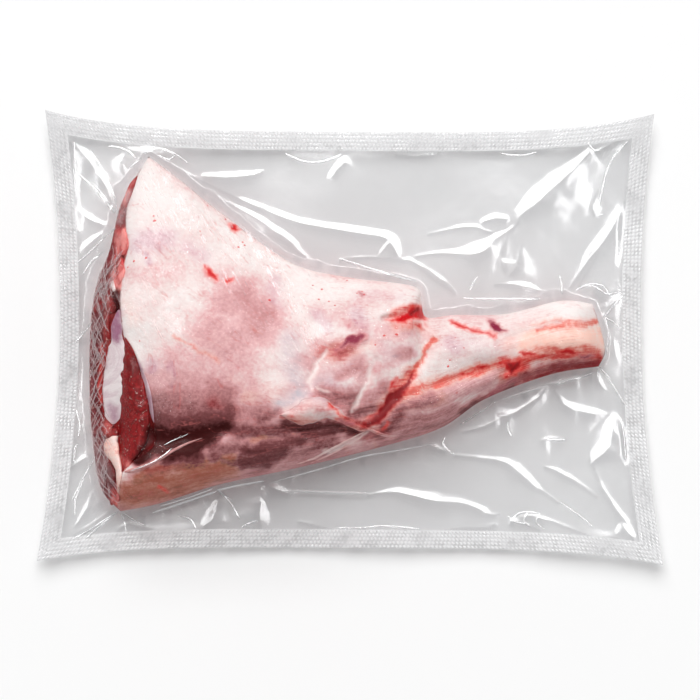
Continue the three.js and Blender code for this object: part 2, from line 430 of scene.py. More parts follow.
inset_plan = plan.mean(axis=1, keepdims=True) * (1 - EDGE_INSET) + plan * EDGE_INSET
top = smoothed(height_on(solid, inset_plan), FACET_PASSES) - FILM_ALLOWANCE
under = smoothed(height_on(solid, inset_plan, below=True), FACET_PASSES) + UNDER_ALLOWANCE
side_run, cut_run, knuckle_run = from_rim(plan)
turn_in = rounded(side_run / ROUNDING) * rounded(cut_run / CUT_ROUNDING) * rounded(knuckle_run / ROUNDING)
rim = RIM_OF_TOP * top + RIM_OF_UNDER * under
top = rim + (top - rim) * turn_in
under = rim + (under - rim) * turn_in
print("shank's height in mm:", round(top.max() / MM, 1))

# %% [markdown]
# ## Paths on the meat
# Seams, blood and the film's creases all run along lines. Each line is written as points of (pixel
# across, pixel down, half its width in pixels). One function finds how far every point of a mesh lies
# from such a line, and paint, grooves and folds are all worked out from that distance.

# %% Distance from a line
REACH = 60.0
DOT_LENGTH = 0.01


def near_line(pixels, line, reach=REACH):
    """Which points lie near a line, and for those the distance, the signed offset, the run past its ends
    and the line's half width there. The offset is positive towards the frame's upper side."""
    dot = [line[0], np.add(line[0], (DOT_LENGTH, 0, 0))]
    line = smooth_line(line) if len(line) > 1 else np.array(dot, float)
    low = line[:, :2].min(axis=0) - reach
    high = line[:, :2].max(axis=0) + reach
    close = np.flatnonzero(np.all((pixels > low) & (pixels < high), axis=1))
    spots = pixels[close]
    best = np.full(len(spots), np.inf)
    offset, past, half = np.zeros((3, len(spots)))
    rightwards = 1.0 if line[-1, 0] >= line[0, 0] else -1.0
    for start, end in zip(line[:-1], line[1:]):
        run = end[:2] - start[:2]
        length = max(np.hypot(*run), 1e-6)
        run = run / length
        along = (spots - start[:2]) @ run
        held = np.clip(along, 0, length)
        sideways = (spots[:, 0] - start[0]) * run[1] - (spots[:, 1] - start[1]) * run[0]
        distance = np.hypot(sideways, along - held)
        nearer = distance < best
        best = np.where(nearer, distance, best)
        offset = np.where(nearer, rightwards * sideways, offset)
        past = np.where(nearer, np.abs(along - held), past)
        half = np.where(nearer, start[2] + (end[2] - start[2]) * held / length, half)
    return close, best, offset, past, half


test_line = [(0, 0, 1), (20, 0, 1)]
print("a point 5 pixels beside a line lies at:", near_line(np.array([[10.0, 5.0]]), test_line)[1])

# %% Grooves and swells: (millimetres, line)
GROOVES = [
    (2.6, [(384, 319, 3), (398, 318, 5), (412, 313, 6), (421, 309, 6)]),
    (1.2, [(437, 338, 3), (424, 358, 4), (402, 385, 6), (378, 411, 6)]),
    (0.8, [(331, 349, 4), (318, 364, 5), (311, 382, 5), (313, 396, 4)]),
    (0.8, [(376, 360, 4), (364, 388, 5), (352, 412, 4)]),
    (1.6, [(283, 428, 6), (310, 430, 7), (340, 432, 6), (372, 431, 4)]),
    (3.0, [(158, 440, 12), (195, 437, 15), (220, 430, 10)]),
    (0.9, [(235, 462, 6), (300, 452, 7), (360, 442, 6)]),
    (0.8, [(245, 437, 4), (290, 436, 4)]),
    (1.2, [(505, 372, 4), (550, 360, 5), (598, 358, 4)]),
    (0.9, [(452, 324, 4), (476, 331, 4), (497, 335, 4)]),
    (0.8, [(500, 340, 4), (530, 331, 4), (560, 323, 4)]),
    (1.0, [(400, 400, 5), (440, 384, 5), (490, 368, 5)]),
    (0.7, [(400, 424, 5), (450, 408, 5), (500, 386, 5)]),
]
SWELLS = [
    (1.4, [(440, 350, 14), (490, 348, 12)]),
    (1.0, [(332, 380, 9), (345, 385, 10)]),
    (0.8, [(550, 343, 9), (595, 340, 9)]),
    (0.8, [(200, 470, 10), (300, 444, 8)]),
    (0.8, [(398, 340, 9), (412, 345, 9)]),
    (0.9, [(420, 402, 8), (470, 386, 8)]),
    (0.8, [(260, 400, 12), (285, 388, 12)]),
]
print("grooves:", len(GROOVES), "swells:", len(SWELLS))

# %% Relief of the meat
COVER_EDGE = [(140, 172), (130, 200), (127, 222), (129, 250), (125, 270), (122, 300), (124, 320),
              (127, 338), (140, 360), (150, 385), (157, 425), (155, 445), (130, 466), (122, 478),
              (118, 505)]
COVER_STEP = 2.4 * MM
COVER_SPAN = (-1.5, 2.5)
RELIEF_FROM_RIM = (0.0, 0.8)
LUMPS = [(0.45 * MM, 13 * MM), (0.24 * MM, 5.5 * MM), (0.11 * MM, 2.6 * MM)]


def past_cover(pixels):
    """Pixels by which each point lies beyond the edge of the fat cover, on the cut face."""
    edge = smooth_line(COVER_EDGE)
    return np.interp(pixels[..., 1], edge[:, 1], edge[:, 0]) - pixels[..., 0]


def relief(pixels):
    """Height to add to the meat's top at each point."""
    height = np.zeros(len(pixels))
    for sign, lines in ((-1, GROOVES), (1, SWELLS)):
        for amount, line in lines:
            close, distance, _, _, half = near_line(pixels, line)
            height[close] += sign * amount * MM * np.exp(-((distance / half) ** 2))
    height -= COVER_STEP * soft_step(past_cover(pixels), *COVER_SPAN)
    for number, (amount, length) in enumerate(LUMPS):
        height += amount * ripple(on_plan(pixels), length, number + 1)
    return height


plan_pixels = in_pixels(plan)
inner = np.minimum(np.minimum(side_run, knuckle_run) / ROUNDING, cut_run / CUT_ROUNDING)
top += relief(plan_pixels.reshape(-1, 2)).reshape(top.shape) * soft_step(inner, *RELIEF_FROM_RIM)
print("relief added to", top.size, "points")

# %% Shank mesh
UNDER_ROW_STEP = 3

shank_bm = bmesh.new()
add_sheet(shank_bm, with_height(plan, top))
add_sheet(shank_bm, with_height(plan, under)[:, ::UNDER_ROW_STEP])
bmesh.ops.remove_doubles(shank_bm, verts=shank_bm.verts, dist=MERGE_DISTANCE)
open_edges = [edge for edge in shank_bm.edges if edge.is_boundary]
bmesh.ops.holes_fill(shank_bm, edges=open_edges, sides=0)
meat_material = bpy.data.materials.new("raw_meat")
shank = finish_piece(shank_bm, "shank", meat_material)
shank_surface = surface_of(shank)

# %% [markdown]
# ## Pieces that lie on the meat
# On the cut face and over the belly lie things with edges of their own: a flap of fat, a lip of skin, a
# sheet of silvery membrane and muscle ends. A dent in the shank would not give them edges, so each is a
# strip: a grid rolled round its line, flat below and domed above, let into the meat so that no gap shows.
# The specks of blood are flattened balls.

# %% A strip along a line
STRIP_STEPS = 70
STRIP_TURNS = 18
END_TAPER = 6
FRAY_LENGTH = 9
FRAY_SEEDS = (0, 5)
RIDGE_DEPTH = 0.3
RIDGE_SLANT = 1.3
LUMPINESS = 0.3
LUMP_LENGTH = 7.0
SETTLED = 0.3


def add_strip(bm, line, thickness, surface, sink, ragged=0.0, seed=1, steps=STRIP_STEPS,
              turns=STRIP_TURNS, ridges=0):
    """A strip along a line of (x, y, half width) that lies on a surface and closes at both ends."""
    shares = (1 - np.cos(np.linspace(0, np.pi, steps + 1))) / 2
    spine = even_line(line, shares)
    taper = np.sqrt(np.clip(1 - np.abs(2 * shares - 1) ** END_TAPER, 0, 1))
    taper[[0, -1]] = 0.0
    ahead = np.gradient(spine[:, :2], axis=0)
    ahead /= np.maximum(np.linalg.norm(ahead, axis=1, keepdims=True), 1e-9)
    sideways = np.stack([ahead[:, 1], -ahead[:, 0]], axis=-1)
    turn = np.linspace(0, 2 * np.pi, turns + 1)
    out, rise = np.cos(turn), np.sin(turn)
    fray = 1 + ragged * np.stack([ripple(spine / FRAY_LENGTH, 1.0, seed + side) for side in FRAY_SEEDS])
    half = (spine[:, 2] * taper)[:, None] * np.where(out > 0, fray[0][:, None], fray[1][:, None])
    pixels = spine[:, None, :2] + sideways[:, None] * (half * out)[..., None]
    ground = height_on(surface, on_plan(pixels), missing=np.inf)
    lowest = ground.min(axis=1)
    found = np.flatnonzero(np.isfinite(lowest))
    lowest = np.interp(np.arange(len(lowest)), found, lowest[found])
    ground = np.where(np.isfinite(ground), ground, lowest[:, None])
    fullness = (taper * np.sqrt(spine[:, 2] / spine[:, 2].max()))[:, None]
    ridge = np.sin(2 * np.pi * (ridges * shares[:, None] + RIDGE_SLANT * out))
    fullness = fullness * (1 + RIDGE_DEPTH * ridge * (ridges > 0))
    fullness = fullness * (1 + LUMPINESS * ripple(pixels, LUMP_LENGTH, seed))
    height = ground + fullness * np.where(rise > 0, thickness * rise, sink * rise)
    height -= SETTLED * sink * taper[:, None]
    return add_sheet(bm, with_height(on_plan(pixels), height))


print("faces of a strip:", STRIP_STEPS * STRIP_TURNS)

# %% Strips: thickness in mm, raggedness, then the line
STRIP_SEED = 20
STRIP_SINK = 0.6 * MM
RIDGED = {"membrane_sheet": 14}
RIDGED_STEPS = 140
STRIPS = {
    "fat_flap": (6.2, 0.45, [(280, 414, 1), (290, 414, 6), (300, 413.5, 10), (311, 410, 11.5),
                             (321, 408, 11.5), (330, 411, 8.5), (340, 416, 5.5), (350, 423, 4),
                             (360, 427, 4), (370, 429, 1.5)]),
    "flap_strand": (1.1, 0.2, [(366, 427, 1.2), (377, 432, 1.8), (387, 435, 1.4), (396, 435, 0.8)]),
    "belly_strand": (0.8, 0.2, [(366, 430, 0.8), (345, 441, 1.1), (330, 449, 1.2), (315, 457, 1.1),
                                (296, 464, 0.8)]),
    "belly_fibre": (0.6, 0.2, [(362, 436, 0.6), (345, 446, 0.9), (328, 455, 0.9), (310, 463, 0.7)]),
    "skin_lip": (1.5, 0.2, [(126, 471, 2.4), (140, 468, 2.8), (152, 463, 2.2), (164, 456, 1.8),
                            (176, 449, 1.5), (190, 442, 1.1), (204, 437, 0.5)]),
    "membrane_sheet": (0.8, 0.45, [(120, 332, 5), (118, 346, 8), (115, 362, 10.5), (113, 380, 11.5),
                                   (112.5, 398, 10.5), (113.5, 412, 9.5), (114, 424, 7)]),
    "membrane_top": (0.7, 0.4, [(121, 310, 2.5), (118.5, 322, 5.5), (118, 332, 6.5), (118.5, 344, 6)]),
    "muscle_wedge": (4.2, 0.1, [(127, 337, 1.5), (131, 350, 5), (134, 370, 9), (136, 394, 13),
                                (137, 418, 15.5), (135, 440, 13.5), (130, 456, 9), (127, 467, 4)]),
    "wedge_rim": (1.6, 0.15, [(139, 358, 1), (144, 372, 2), (150, 390, 2.6), (153, 408, 2.2),
                              (156, 422, 1)]),
    "muscle_ball": (3.6, 0.1, [(105, 423, 4), (109, 430, 8), (114, 432, 7), (118, 428, 3.5)]),
    "fat_lump": (3.8, 0.2, [(119, 433, 4), (113, 440, 7.5), (113, 450, 7.5), (117, 460, 5), (120, 469, 3.4),
                            (120, 481, 2.4), (119, 493, 1.4)]),
    "fat_bit": (1.8, 0.15, [(114, 281, 1.2), (114, 286, 2.4), (116, 292, 1.6)]),
    "muscle_crown": (1.8, 0.2, [(138, 176, 1.2), (132, 187, 3), (128, 199, 3.2), (124, 212, 1.6)]),
    "muscle_rim": (2.8, 0.2, [(124, 229, 2), (125, 238, 4.4), (125, 247, 5), (123, 257, 3)]),
    "muscle_bud": (2.6, 0.2, [(122, 255, 2.4), (121, 264, 4.6), (122, 274, 4.4), (120, 285, 2)]),
    "muscle_nub": (2.4, 0.2, [(115, 255, 1.6), (115, 261, 3.2), (113, 268, 2)]),
    "muscle_knot": (2.2, 0.2, [(114, 264, 2.4), (115, 272, 3.6), (113, 280, 2.4)]),
    "muscle_core": (3.0, 0.25, [(109, 296, 3), (112, 304, 6), (116, 313, 4)]),
    "muscle_edge": (1.6, 0.6, [(110, 316, 2.4), (108, 330, 3), (106, 346, 2.8), (104.5, 364, 2.4),
                               (102, 384, 2.2), (103, 404, 1.8), (105, 418, 1.4)]),
    "muscle_heel": (2.4, 0.25, [(109, 463, 3), (112, 472, 4.6), (113, 483, 3)]),
    "muscle_toe": (2.2, 0.3, [(111, 488, 2), (113, 497, 3), (112, 505, 2)]),
    "muscle_tip": (2.0, 0.2, [(118, 493, 2), (119, 501, 2.6)]),
}
strips = {}
for seed, (strip_name, (thickness, ragged, line)) in enumerate(STRIPS.items(), start=STRIP_SEED):
    strip_bm = bmesh.new()
    ridges = RIDGED.get(strip_name, 0)
    steps = RIDGED_STEPS if ridges else STRIP_STEPS
    add_strip(strip_bm, line, thickness * MM, shank_surface, STRIP_SINK, ragged, seed, steps, ridges=ridges)
    strips[strip_name] = finish_piece(strip_bm, strip_name, meat_material)
meat_surface = surface_of(shank, *strips.values())

# %% Blood specks
SPECK_LIFT = 0.12 * MM
SPECK_ASPECT = 0.85
SPECKS = [(155, 217, 1.1), (156, 222, 1.8), (148, 259, 1.5), (136, 262, 1.4), (130, 268, 1.0),
          (243, 243, 1.2), (245, 246, 1.2), (239, 248, 1.3), (226, 220, 0.9), (201, 232, 0.8),
          (202, 236, 0.8), (270, 301, 1.6), (322, 290, 1.2), (319, 300, 1.2), (329, 302, 1.0),
          (335, 306, 1.0), (313, 286, 1.0), (347, 281, 1.0), (357, 294, 0.9), (362, 292, 0.9),
          (364, 295, 0.9), (396, 335, 1.8), (384, 336, 1.5), (375, 345, 1.0), (447, 366, 1.5),
          (449, 360, 0.8), (463, 348, 0.8), (467, 373, 1.0), (142, 341, 0.9), (208, 206, 0.8)]
speck_bm = bmesh.new()
for x, y, radius in SPECKS:
    spot = on_plan((x, y))
    place = Matrix.Translation((*spot, float(height_on(meat_surface, spot[None])[0])))
    flat = Matrix.Diagonal((radius * PIXEL, radius * PIXEL * SPECK_ASPECT, SPECK_LIFT, 1.0))
    bmesh.ops.create_icosphere(speck_bm, subdivisions=2, radius=1.0, matrix=place @ flat)
specks = finish_piece(speck_bm, "blood_specks", meat_material)

# %% [markdown]
# ## Painting the meat
# Raw meat is white where fat is thick and turns pink, then dark red, where flesh comes near the surface.
# That nearness is painted on the points of the mesh as one value, in soft washes that fade out from a
# line. Other washes glaze it with blood or a violet sheen. A mark stores how deep a point lies inside it,
# and the shader adds fine noise to that depth before it cuts it off, which gives blood and seams their
# ragged edges. The underside isn't drawn: it has broad patches of fat and flesh. A few washes are partly
# painted shade: the deep flesh in the hollow behind the skin lip, the dark line under the fat flap, and
# the dark wash between the muscle ends and at the lower end of the muscle wedge.

# %% Flesh under the fat: (depth, radius, line)
LOWER_EDGE = [(122, 506), (165, 497), (205, 485), (260, 473), (320, 461), (380, 446), (440, 427),
              (480, 408)]
FLESH = [
    (0.46, 24, [(230, 303), (250, 305), (266, 318)]), (0.39, 23, [(208, 332), (240, 338), (262, 335)]),
    (0.32, 15, [(230, 280), (250, 288)]), (0.26, 10, [(203, 272), (222, 278)]),
    (0.24, 16, [(138, 276), (182, 272)]), (0.16, 20, [(160, 240), (200, 255)]),
    (0.12, 26, [(150, 300), (175, 335)]), (0.26, 14, [(260, 328), (268, 336)]),
    (0.33, 24, [(175, 362), (215, 360), (245, 362)]), (0.42, 17, [(156, 382), (200, 384)]),
    # Rows deepening from y 394 down to the skin lip: partly flesh, partly painted shade in the hollow behind
    # the lip.
    (0.48, 14, [(216, 382), (232, 392)]), (0.54, 11, [(152, 394), (190, 396), (228, 392)]),
    (0.64, 11, [(152, 404), (190, 407), (230, 402)]), (0.79, 11, [(152, 415), (190, 419), (230, 414)]),
    (0.95, 11, [(152, 427), (188, 431), (229, 425)]), (1.1, 11, [(150, 438), (182, 441), (214, 435)]),
    (1.08, 9, [(148, 448), (172, 450), (196, 447)]), (1.1, 6, [(138, 459), (150, 455)]),
    (0.86, 8, [(166, 458), (200, 455)]), (0.32, 12, [(246, 382), (262, 398)]),
    (0.56, 13, [(238, 414), (268, 412)]), (0.7, 11, [(240, 431), (284, 430)]),
    (0.78, 9, [(248, 449), (300, 440)]), (0.76, 9, [(244, 460), (284, 452)]),
    (0.66, 8, [(214, 456), (240, 466), (268, 463)]), (0.6, 9, [(288, 455), (330, 448)]),
    (0.6, 11, [(136, 480), (170, 469), (208, 462)]), (0.52, 13, [(126, 496), (170, 487), (224, 471)]),
    (0.64, 10, [(214, 449), (244, 448)]), (0.62, 7, [(264, 419), (280, 412)]), (0.5, 10, LOWER_EDGE),
    # First wash below: painted shadow under the lower edge of the fat flap.
    (0.86, 7, [(288, 424), (310, 426), (332, 426), (354, 430)]), (0.74, 9, [(306, 434), (332, 434)]),
    (0.6, 9, [(316, 446), (340, 443)]), (0.66, 8, [(352, 434), (380, 434)]),
    (0.66, 12, [(324, 392), (338, 398), (354, 398)]), (0.5, 8, [(340, 374), (356, 367)]),
    (0.4, 10, [(362, 362), (364, 388)]), (0.3, 12, [(318, 378), (338, 366)]),
    (0.7, 9, [(352, 412), (374, 410)]), (0.5, 9, [(370, 398), (384, 388)]),
    (0.38, 10, [(298, 361), (316, 362)]), (0.34, 12, [(288, 396), (300, 390)]),
    (0.4, 12, [(322, 348), (352, 352)]), (0.3, 9, [(378, 372), (396, 362)]),
    (0.3, 14, [(380, 346), (394, 356)]), (0.5, 8, [(396, 355), (410, 351)]),
    (0.34, 7, [(405, 332), (412, 333)]), (0.3, 16, [(385, 330), (415, 332)]),
    (0.34, 9, [(352, 324), (364, 328)]), (0.6, 10, [(396, 410), (432, 397)]),
    (0.72, 8, [(384, 424), (396, 418)]), (0.55, 9, [(390, 428), (420, 420), (452, 409)]),
    (0.4, 12, [(440, 396), (480, 386)]), (0.5, 6, [(400, 434), (440, 424), (462, 414)]),
    (0.7, 6, [(462, 414), (488, 399), (512, 385)]), (0.4, 10, [(486, 380), (505, 374)]),
    (0.52, 7.5, [(503, 388), (522, 377), (546, 368), (575, 363), (604, 359)]),
    (0.18, 22, [(440, 345), (495, 350)]), (0.22, 13, [(440, 314), (490, 318)]),
    (0.24, 20, [(292, 340), (299, 385)]), (0.2, 14, [(350, 305), (385, 300)]),
    (0.24, 12, [(320, 315), (345, 318)]), (0.2, 12, [(505, 336), (530, 324)]),
    (0.16, 5, [(152, 158), (185, 184), (220, 214), (262, 243), (305, 266), (350, 280), (412, 286)]),
]
print("washes of flesh:", len(FLESH))

# %% Glazes over it: (strength, radius, line)
GLAZES = {
    "violet": [(0.55, 13, [(138, 243), (168, 240)]), (0.55, 4, [(150, 232), (152, 238)]),
               (0.6, 4, [(148, 255), (152, 262)]), (0.5, 3, [(160, 235), (170, 240)]),
               (0.42, 9, [(188, 248), (206, 256)]), (0.4, 10, [(274, 285), (276, 308)]),
               (0.55, 2.5, [(271, 302)]), (0.5, 8, [(318, 318), (326, 326)]),
               (0.45, 9, [(358, 312), (364, 336)]), (0.25, 7, [(355, 296), (398, 297)]),
               (0.55, 10, [(152, 366), (162, 396)]), (0.45, 16, [(172, 372), (190, 398)]),
               (0.6, 8, [(396, 355), (410, 351)]), (0.5, 6, [(404, 332), (412, 333)]),
               (0.5, 9, [(450, 344), (455, 346)]), (0.6, 14, [(322, 392), (350, 398)]),
               (0.5, 8, [(250, 428), (280, 428)]), (0.45, 9, [(334, 378), (356, 364)]),
               (0.9, 7, [(118, 314), (118, 334)]), (0.55, 7, [(112, 406), (115, 416)]),
               (0.2, 14, [(380, 366), (395, 350)])],
    "pearl": [(0.6, 9, [(284, 402), (302, 394)]), (0.5, 13, [(290, 340), (296, 380)]),
              (0.3, 12, [(466, 342), (482, 350)]), (0.35, 9, [(316, 380), (330, 374)]),
              (0.3, 10, [(385, 345), (392, 358)])],
    "peach": [(0.95, 15, [(530, 341), (602, 339)]), (0.4, 10, [(508, 345), (530, 332)]),
              (0.3, 7, [(130, 300), (136, 320)]), (0.4, 7, [(340, 352), (372, 346)])],
    "rose": [(0.5, 14, [(244, 398), (262, 406)]), (0.6, 9, [(238, 418), (250, 412)]),
             (0.4, 10, [(262, 388), (280, 392)]), (0.35, 12, [(222, 392), (236, 382)]),
             (0.9, 9, [(324, 350), (344, 353)]), (1.0, 5, [(344, 421), (364, 426)]),
             (0.45, 12, [(240, 305), (258, 312)]), (0.6, 6, [(256, 328), (268, 336)]),
             (0.5, 5, [(350, 440), (376, 434)]), (0.45, 8, [(392, 326), (418, 326)]),
             (0.5, 6, [(425, 328), (434, 336)]), (0.5, 6, [(386, 430), (420, 421), (450, 409)]),
             (0.5, 6, [(508, 350), (514, 340)]), (0.55, 7, LOWER_EDGE[2:]),
             (0.7, 5, [(296, 421), (325, 420)]), (0.4, 9, [(200, 336), (226, 346)]),
             (0.4, 6, [(168, 384), (172, 392)]), (0.5, 4, [(384, 336)]), (0.5, 4, [(396, 335)]),
             (0.3, 8, [(368, 378), (372, 366)]),
             (0.8, 6, [(508, 381), (530, 371), (560, 364), (600, 360)]),
             (0.45, 14, [(232, 408), (246, 420)]), (0.35, 12, [(240, 455), (300, 450), (350, 440)]),
             (0.8, 3, [(284, 416), (292, 421), (305, 424)]),
             (0.45, 8, [(290, 414), (312, 406), (326, 409)])],
    "coral": [(0.85, 6.5, [(396, 396), (430, 384), (460, 376), (492, 365)]),
              (0.7, 5, [(545, 327), (572, 323), (597, 320)]),
              (0.8, 5, [(528, 351), (565, 350), (600, 352)]),
              (0.7, 4, [(538, 329), (565, 327), (596, 322)]), (0.3, 8, [(508, 342), (545, 336)]),
              (0.9, 3.5, [(436, 338), (428, 348), (424, 358), (415, 371), (404, 384)]),
              (0.35, 9, [(234, 400), (252, 394)])],
    "tan": [(1.0, 9, [(140, 479), (156, 471), (176, 465), (202, 461)]),
            (0.4, 7, [(296, 432), (318, 428)]),
            (1.0, 15, [(128, 494), (160, 488), (196, 476), (228, 464)]),
            (0.7, 5, [(252, 437), (284, 439)]), (0.45, 8, [(402, 406), (440, 396)])],
    "stain": [(0.75, 5, [(392, 315), (406, 311), (420, 309)]), (0.6, 6, [(396, 326), (422, 325)]),
              (0.8, 9, [(410, 376), (400, 388), (386, 405), (372, 420)]),
              (0.85, 9, [(500, 366), (522, 362)]), (0.75, 7, [(518, 370), (503, 379)]),
              (0.9, 4.5, [(518, 358), (545, 357), (575, 356), (602, 357)]),
              (0.6, 5, [(462, 375), (488, 367)]), (0.5, 8, [(332, 352), (348, 346)]),
              (0.7, 5, [(338, 421), (362, 426)]), (0.5, 5, [(292, 417), (312, 421)]),
              (0.5, 4, [(376, 432), (386, 422)]), (0.35, 5, [(344, 446)]),
              (0.4, 2.5, [(372, 436), (374, 447)]),
              (0.6, 2, [(176, 334), (190, 343), (205, 352), (222, 362)]),
              (0.8, 2.2, [(330, 403), (338, 411), (347, 418)]), (0.4, 5, [(156, 484), (170, 490)])],
    "wine": [(0.6, 6, [(490, 397), (516, 381), (530, 375)]),
             (0.95, 8, [(528, 377), (560, 370), (603, 364)]), (0.6, 6, [(464, 414), (500, 391)]),
             (0.5, 9, [(214, 402), (232, 412)]), (0.6, 8, [(340, 350), (364, 337)]),
             (0.7, 6, [(348, 422), (366, 424)]), (0.5, 7, [(364, 437), (386, 428)]),
             (0.5, 8, [(150, 470), (182, 461)])],
    "bright": [(1.3, 8, [(123, 234), (124, 250), (122, 268), (120, 284)]),
               (0.5, 5, [(114, 258), (113, 276)]), (0.35, 5, [(109, 300), (113, 310)]),
               (0.55, 5, [(134, 182), (127, 202)]), (0.6, 6, [(124, 458), (130, 465)]),
               (0.5, 6, [(106, 425), (109, 432)]), (0.7, 4, [(116, 492), (117, 504)]),
               (0.3, 4, [(109, 318), (106, 345), (103, 370)])],
    # The dark wash is partly the dark red of muscle and partly painted shade between the muscle ends and at
    # the lower end of the wedge.
    "dark_and_shade": [(0.6, 2.5, [(120, 256), (127, 257)]), (0.5, 2, [(118, 258), (117, 272)]),
             (0.9, 5, [(118, 296), (121, 308)]), (0.35, 4, [(107, 288), (106, 312)]),
             (0.35, 4, [(110, 266), (109, 279)]), (0.85, 7, [(154, 428), (150, 442), (140, 458)]),
             (0.55, 8, [(135, 364), (136, 372)]), (0.6, 6, [(111, 468), (112, 480)])],
    "outer": [(0.6, 9, [(112, 236), (100, 290)]), (1.0, 9, [(97, 320), (94, 400), (97, 450), (103, 490)])],
}
print("glazes:", {name: len(washes) for name, washes in GLAZES.items()})

# %% Marks: lines of (x, y, half width)
MARKS = {
    "maroon": [
        [(486, 321, 1.6), (492, 325, 5), (498, 330, 5), (504, 331, 2)],
        [(338, 349, 1), (345, 345, 3), (352, 340, 5), (360, 337, 4.4), (366, 336, 2)],
        [(348, 325, 1.6)],
        [(358, 293, 2), (362, 295, 2)],
        [(577, 355, 1.2), (585, 357, 2.6), (592, 357, 1.2)],
        [(341, 421, 2.2), (352, 424, 1.2)],
        [(486, 399, 1), (500, 387, 1.8), (515, 378, 1.5)],
    ],
    "clot": [
        [(412, 375, 1.4), (402, 388, 4.6), (392, 400, 7), (384, 409, 7), (375, 418, 5), (363, 426, 2)],
        [(507, 364, 2), (511, 369, 3), (515, 365, 2)],
        [(412, 314, 2.4), (418, 311, 3)],
    ],
    "blood": [
        [(449, 320, 1.2), (456, 324, 2.6), (464, 328, 2), (476, 330.5, 1.6), (488, 334, 1.4),
         (497, 336, 0.8)],
        [(386, 319, 0.6), (394, 319, 2.5), (401, 319, 5.4), (408, 317, 5.6), (415, 313.5, 7),
         (421, 314, 6.5)],
        [(424, 357, 1.6)],
        [(398, 378, 1), (393, 385, 2), (390, 389, 1)],
        [(503, 362, 2.5), (508, 367, 6), (515, 366, 5), (520, 359, 1.5)],
        [(504, 375, 3), (514, 372, 2.5)],
        [(460, 375, 1.2), (467, 373, 2), (474, 370, 1.4), (482, 367.5, 3), (490, 366, 1)],
        [(520, 353, 1.2), (527, 354, 3.2), (535, 355, 1.2)],
        [(558, 353, 1.2), (566, 353, 3.4), (575, 354, 1.6)],
        [(230, 225, 2.6), (234, 228, 4.6), (238, 231, 2.6)],
        [(206, 267, 2), (212, 273, 4.4), (217, 280, 3)],
        [(230, 281, 3.6)],
        [(331, 406, 1.6)],
        [(293, 415, 1.2)],
        [(382, 429, 1), (386, 425, 1.6), (388, 421, 0.8)],
        [(160, 486, 1), (168, 489, 1.6)],
        [(105, 344, 0.8), (102, 362, 1.2), (100.5, 382, 1.2), (102, 402, 0.8)],
    ],
    "seam": [
        [(328, 352, 1.2), (320, 361, 2.4), (314, 371, 2.6), (311, 381, 2), (313, 390, 0.8)],
        [(371, 367, 1), (368, 378, 2), (364, 388, 2.4), (358, 399, 1.4), (353, 410, 0.8)],
        [(318, 387, 0.7), (328, 391, 0.7)],
        [(500, 338, 0.7), (530, 328, 0.9), (560, 322, 0.7)],
        [(435, 335, 0.7), (428, 330, 0.8), (420, 322, 0.7)],
        [(578, 316, 0.7), (583, 321, 0.7)],
        [(368, 431, 1), (345, 443, 0.8), (325, 452, 0.7)],
    ],
}
print("marks:", {name: len(lines) for name, lines in MARKS.items()})

# %% Pieces with paint of their own
NO_MARK = -9.0
WHOLLY = 9.0
PIECE_PAINT = {
    "membrane_sheet": {"lean": NO_MARK, "silver": WHOLLY},
    "membrane_top": {"lean": NO_MARK, "silver": WHOLLY},
    "wedge_rim": {"lean": NO_MARK, "silver": WHOLLY, "violet": 0.55},
    "skin_lip": {"lean": NO_MARK, "flesh": 0.44, "tan": 0.3, "violet": 0.5},
    "fat_flap": {"lean": NO_MARK, "flesh": 0.22},
    "flap_strand": {"lean": NO_MARK, "flesh": 0.3},
    "belly_strand": {"lean": NO_MARK, "flesh": 0.2},
    "belly_fibre": {"lean": NO_MARK, "flesh": 0.25},
    "fat_lump": {"lean": NO_MARK, "outer": 0.0, "flesh": 0.12, "peach": 0.6},
    "fat_bit": {"lean": NO_MARK, "outer": 0.0, "flesh": 0.05},
    "blood_specks": {"lean": NO_MARK, "blood": 1.6},
}
print("pieces with paint of their own:", len(PIECE_PAINT))

# %% Washes
MELT = 4
WASH_REACH = 3
WASH_SPREAD = 1.1
WASH_FALL = 2.2


def paint(piece, name, values):
    """A value for each point of a piece, or one for all, kept on its mesh under that name."""
    layer = piece.data.attributes.new(name, "FLOAT", "POINT")
    layer.data.foreach_set("value", np.broadcast_to(values, len(piece.data.vertices)).astype(np.float32))


def wandered(pixels, waves, seed):
    """Places moved about by smooth noise, so that what is drawn at them gets a natural outline."""
    for amount, length in waves:
        seed += 2
        pixels = pixels + amount * np.stack(
            [ripple(pixels, length, seed), ripple(pixels, length, seed + 1)], axis=-1)
    return pixels


def washed(pixels, washes):
    """A soft value at each point, of washes that fade out from their lines and melt into each other."""
    total = np.zeros(len(pixels))
    for wash_strength, radius, line in washes:
        close, distance, *_ = near_line(pixels, [(*spot, radius) for spot in line], WASH_REACH * radius)
        fading = np.exp(-((distance / (WASH_SPREAD * radius)) ** WASH_FALL))
        total[close] += (wash_strength * fading) ** MELT
    return total ** (1 / MELT)


test_wash = [(1.0, 10, [(0, 0), (20, 0)])]
print("a wash at one radius from its line:", washed(np.array([[10.0, 10.0]]), test_wash).round(2))

# %% Places along the leg
LEG_WIDTH = 60 * MM
SIDE_STEPS = 200
FIBRES_ACROSS = (0.5, 0.8)
FIBRES_FROM = (225, 300)
LOWEST = (0.85, 0.95)
FAN_END = 330
FAN_SLANT = 0.0014


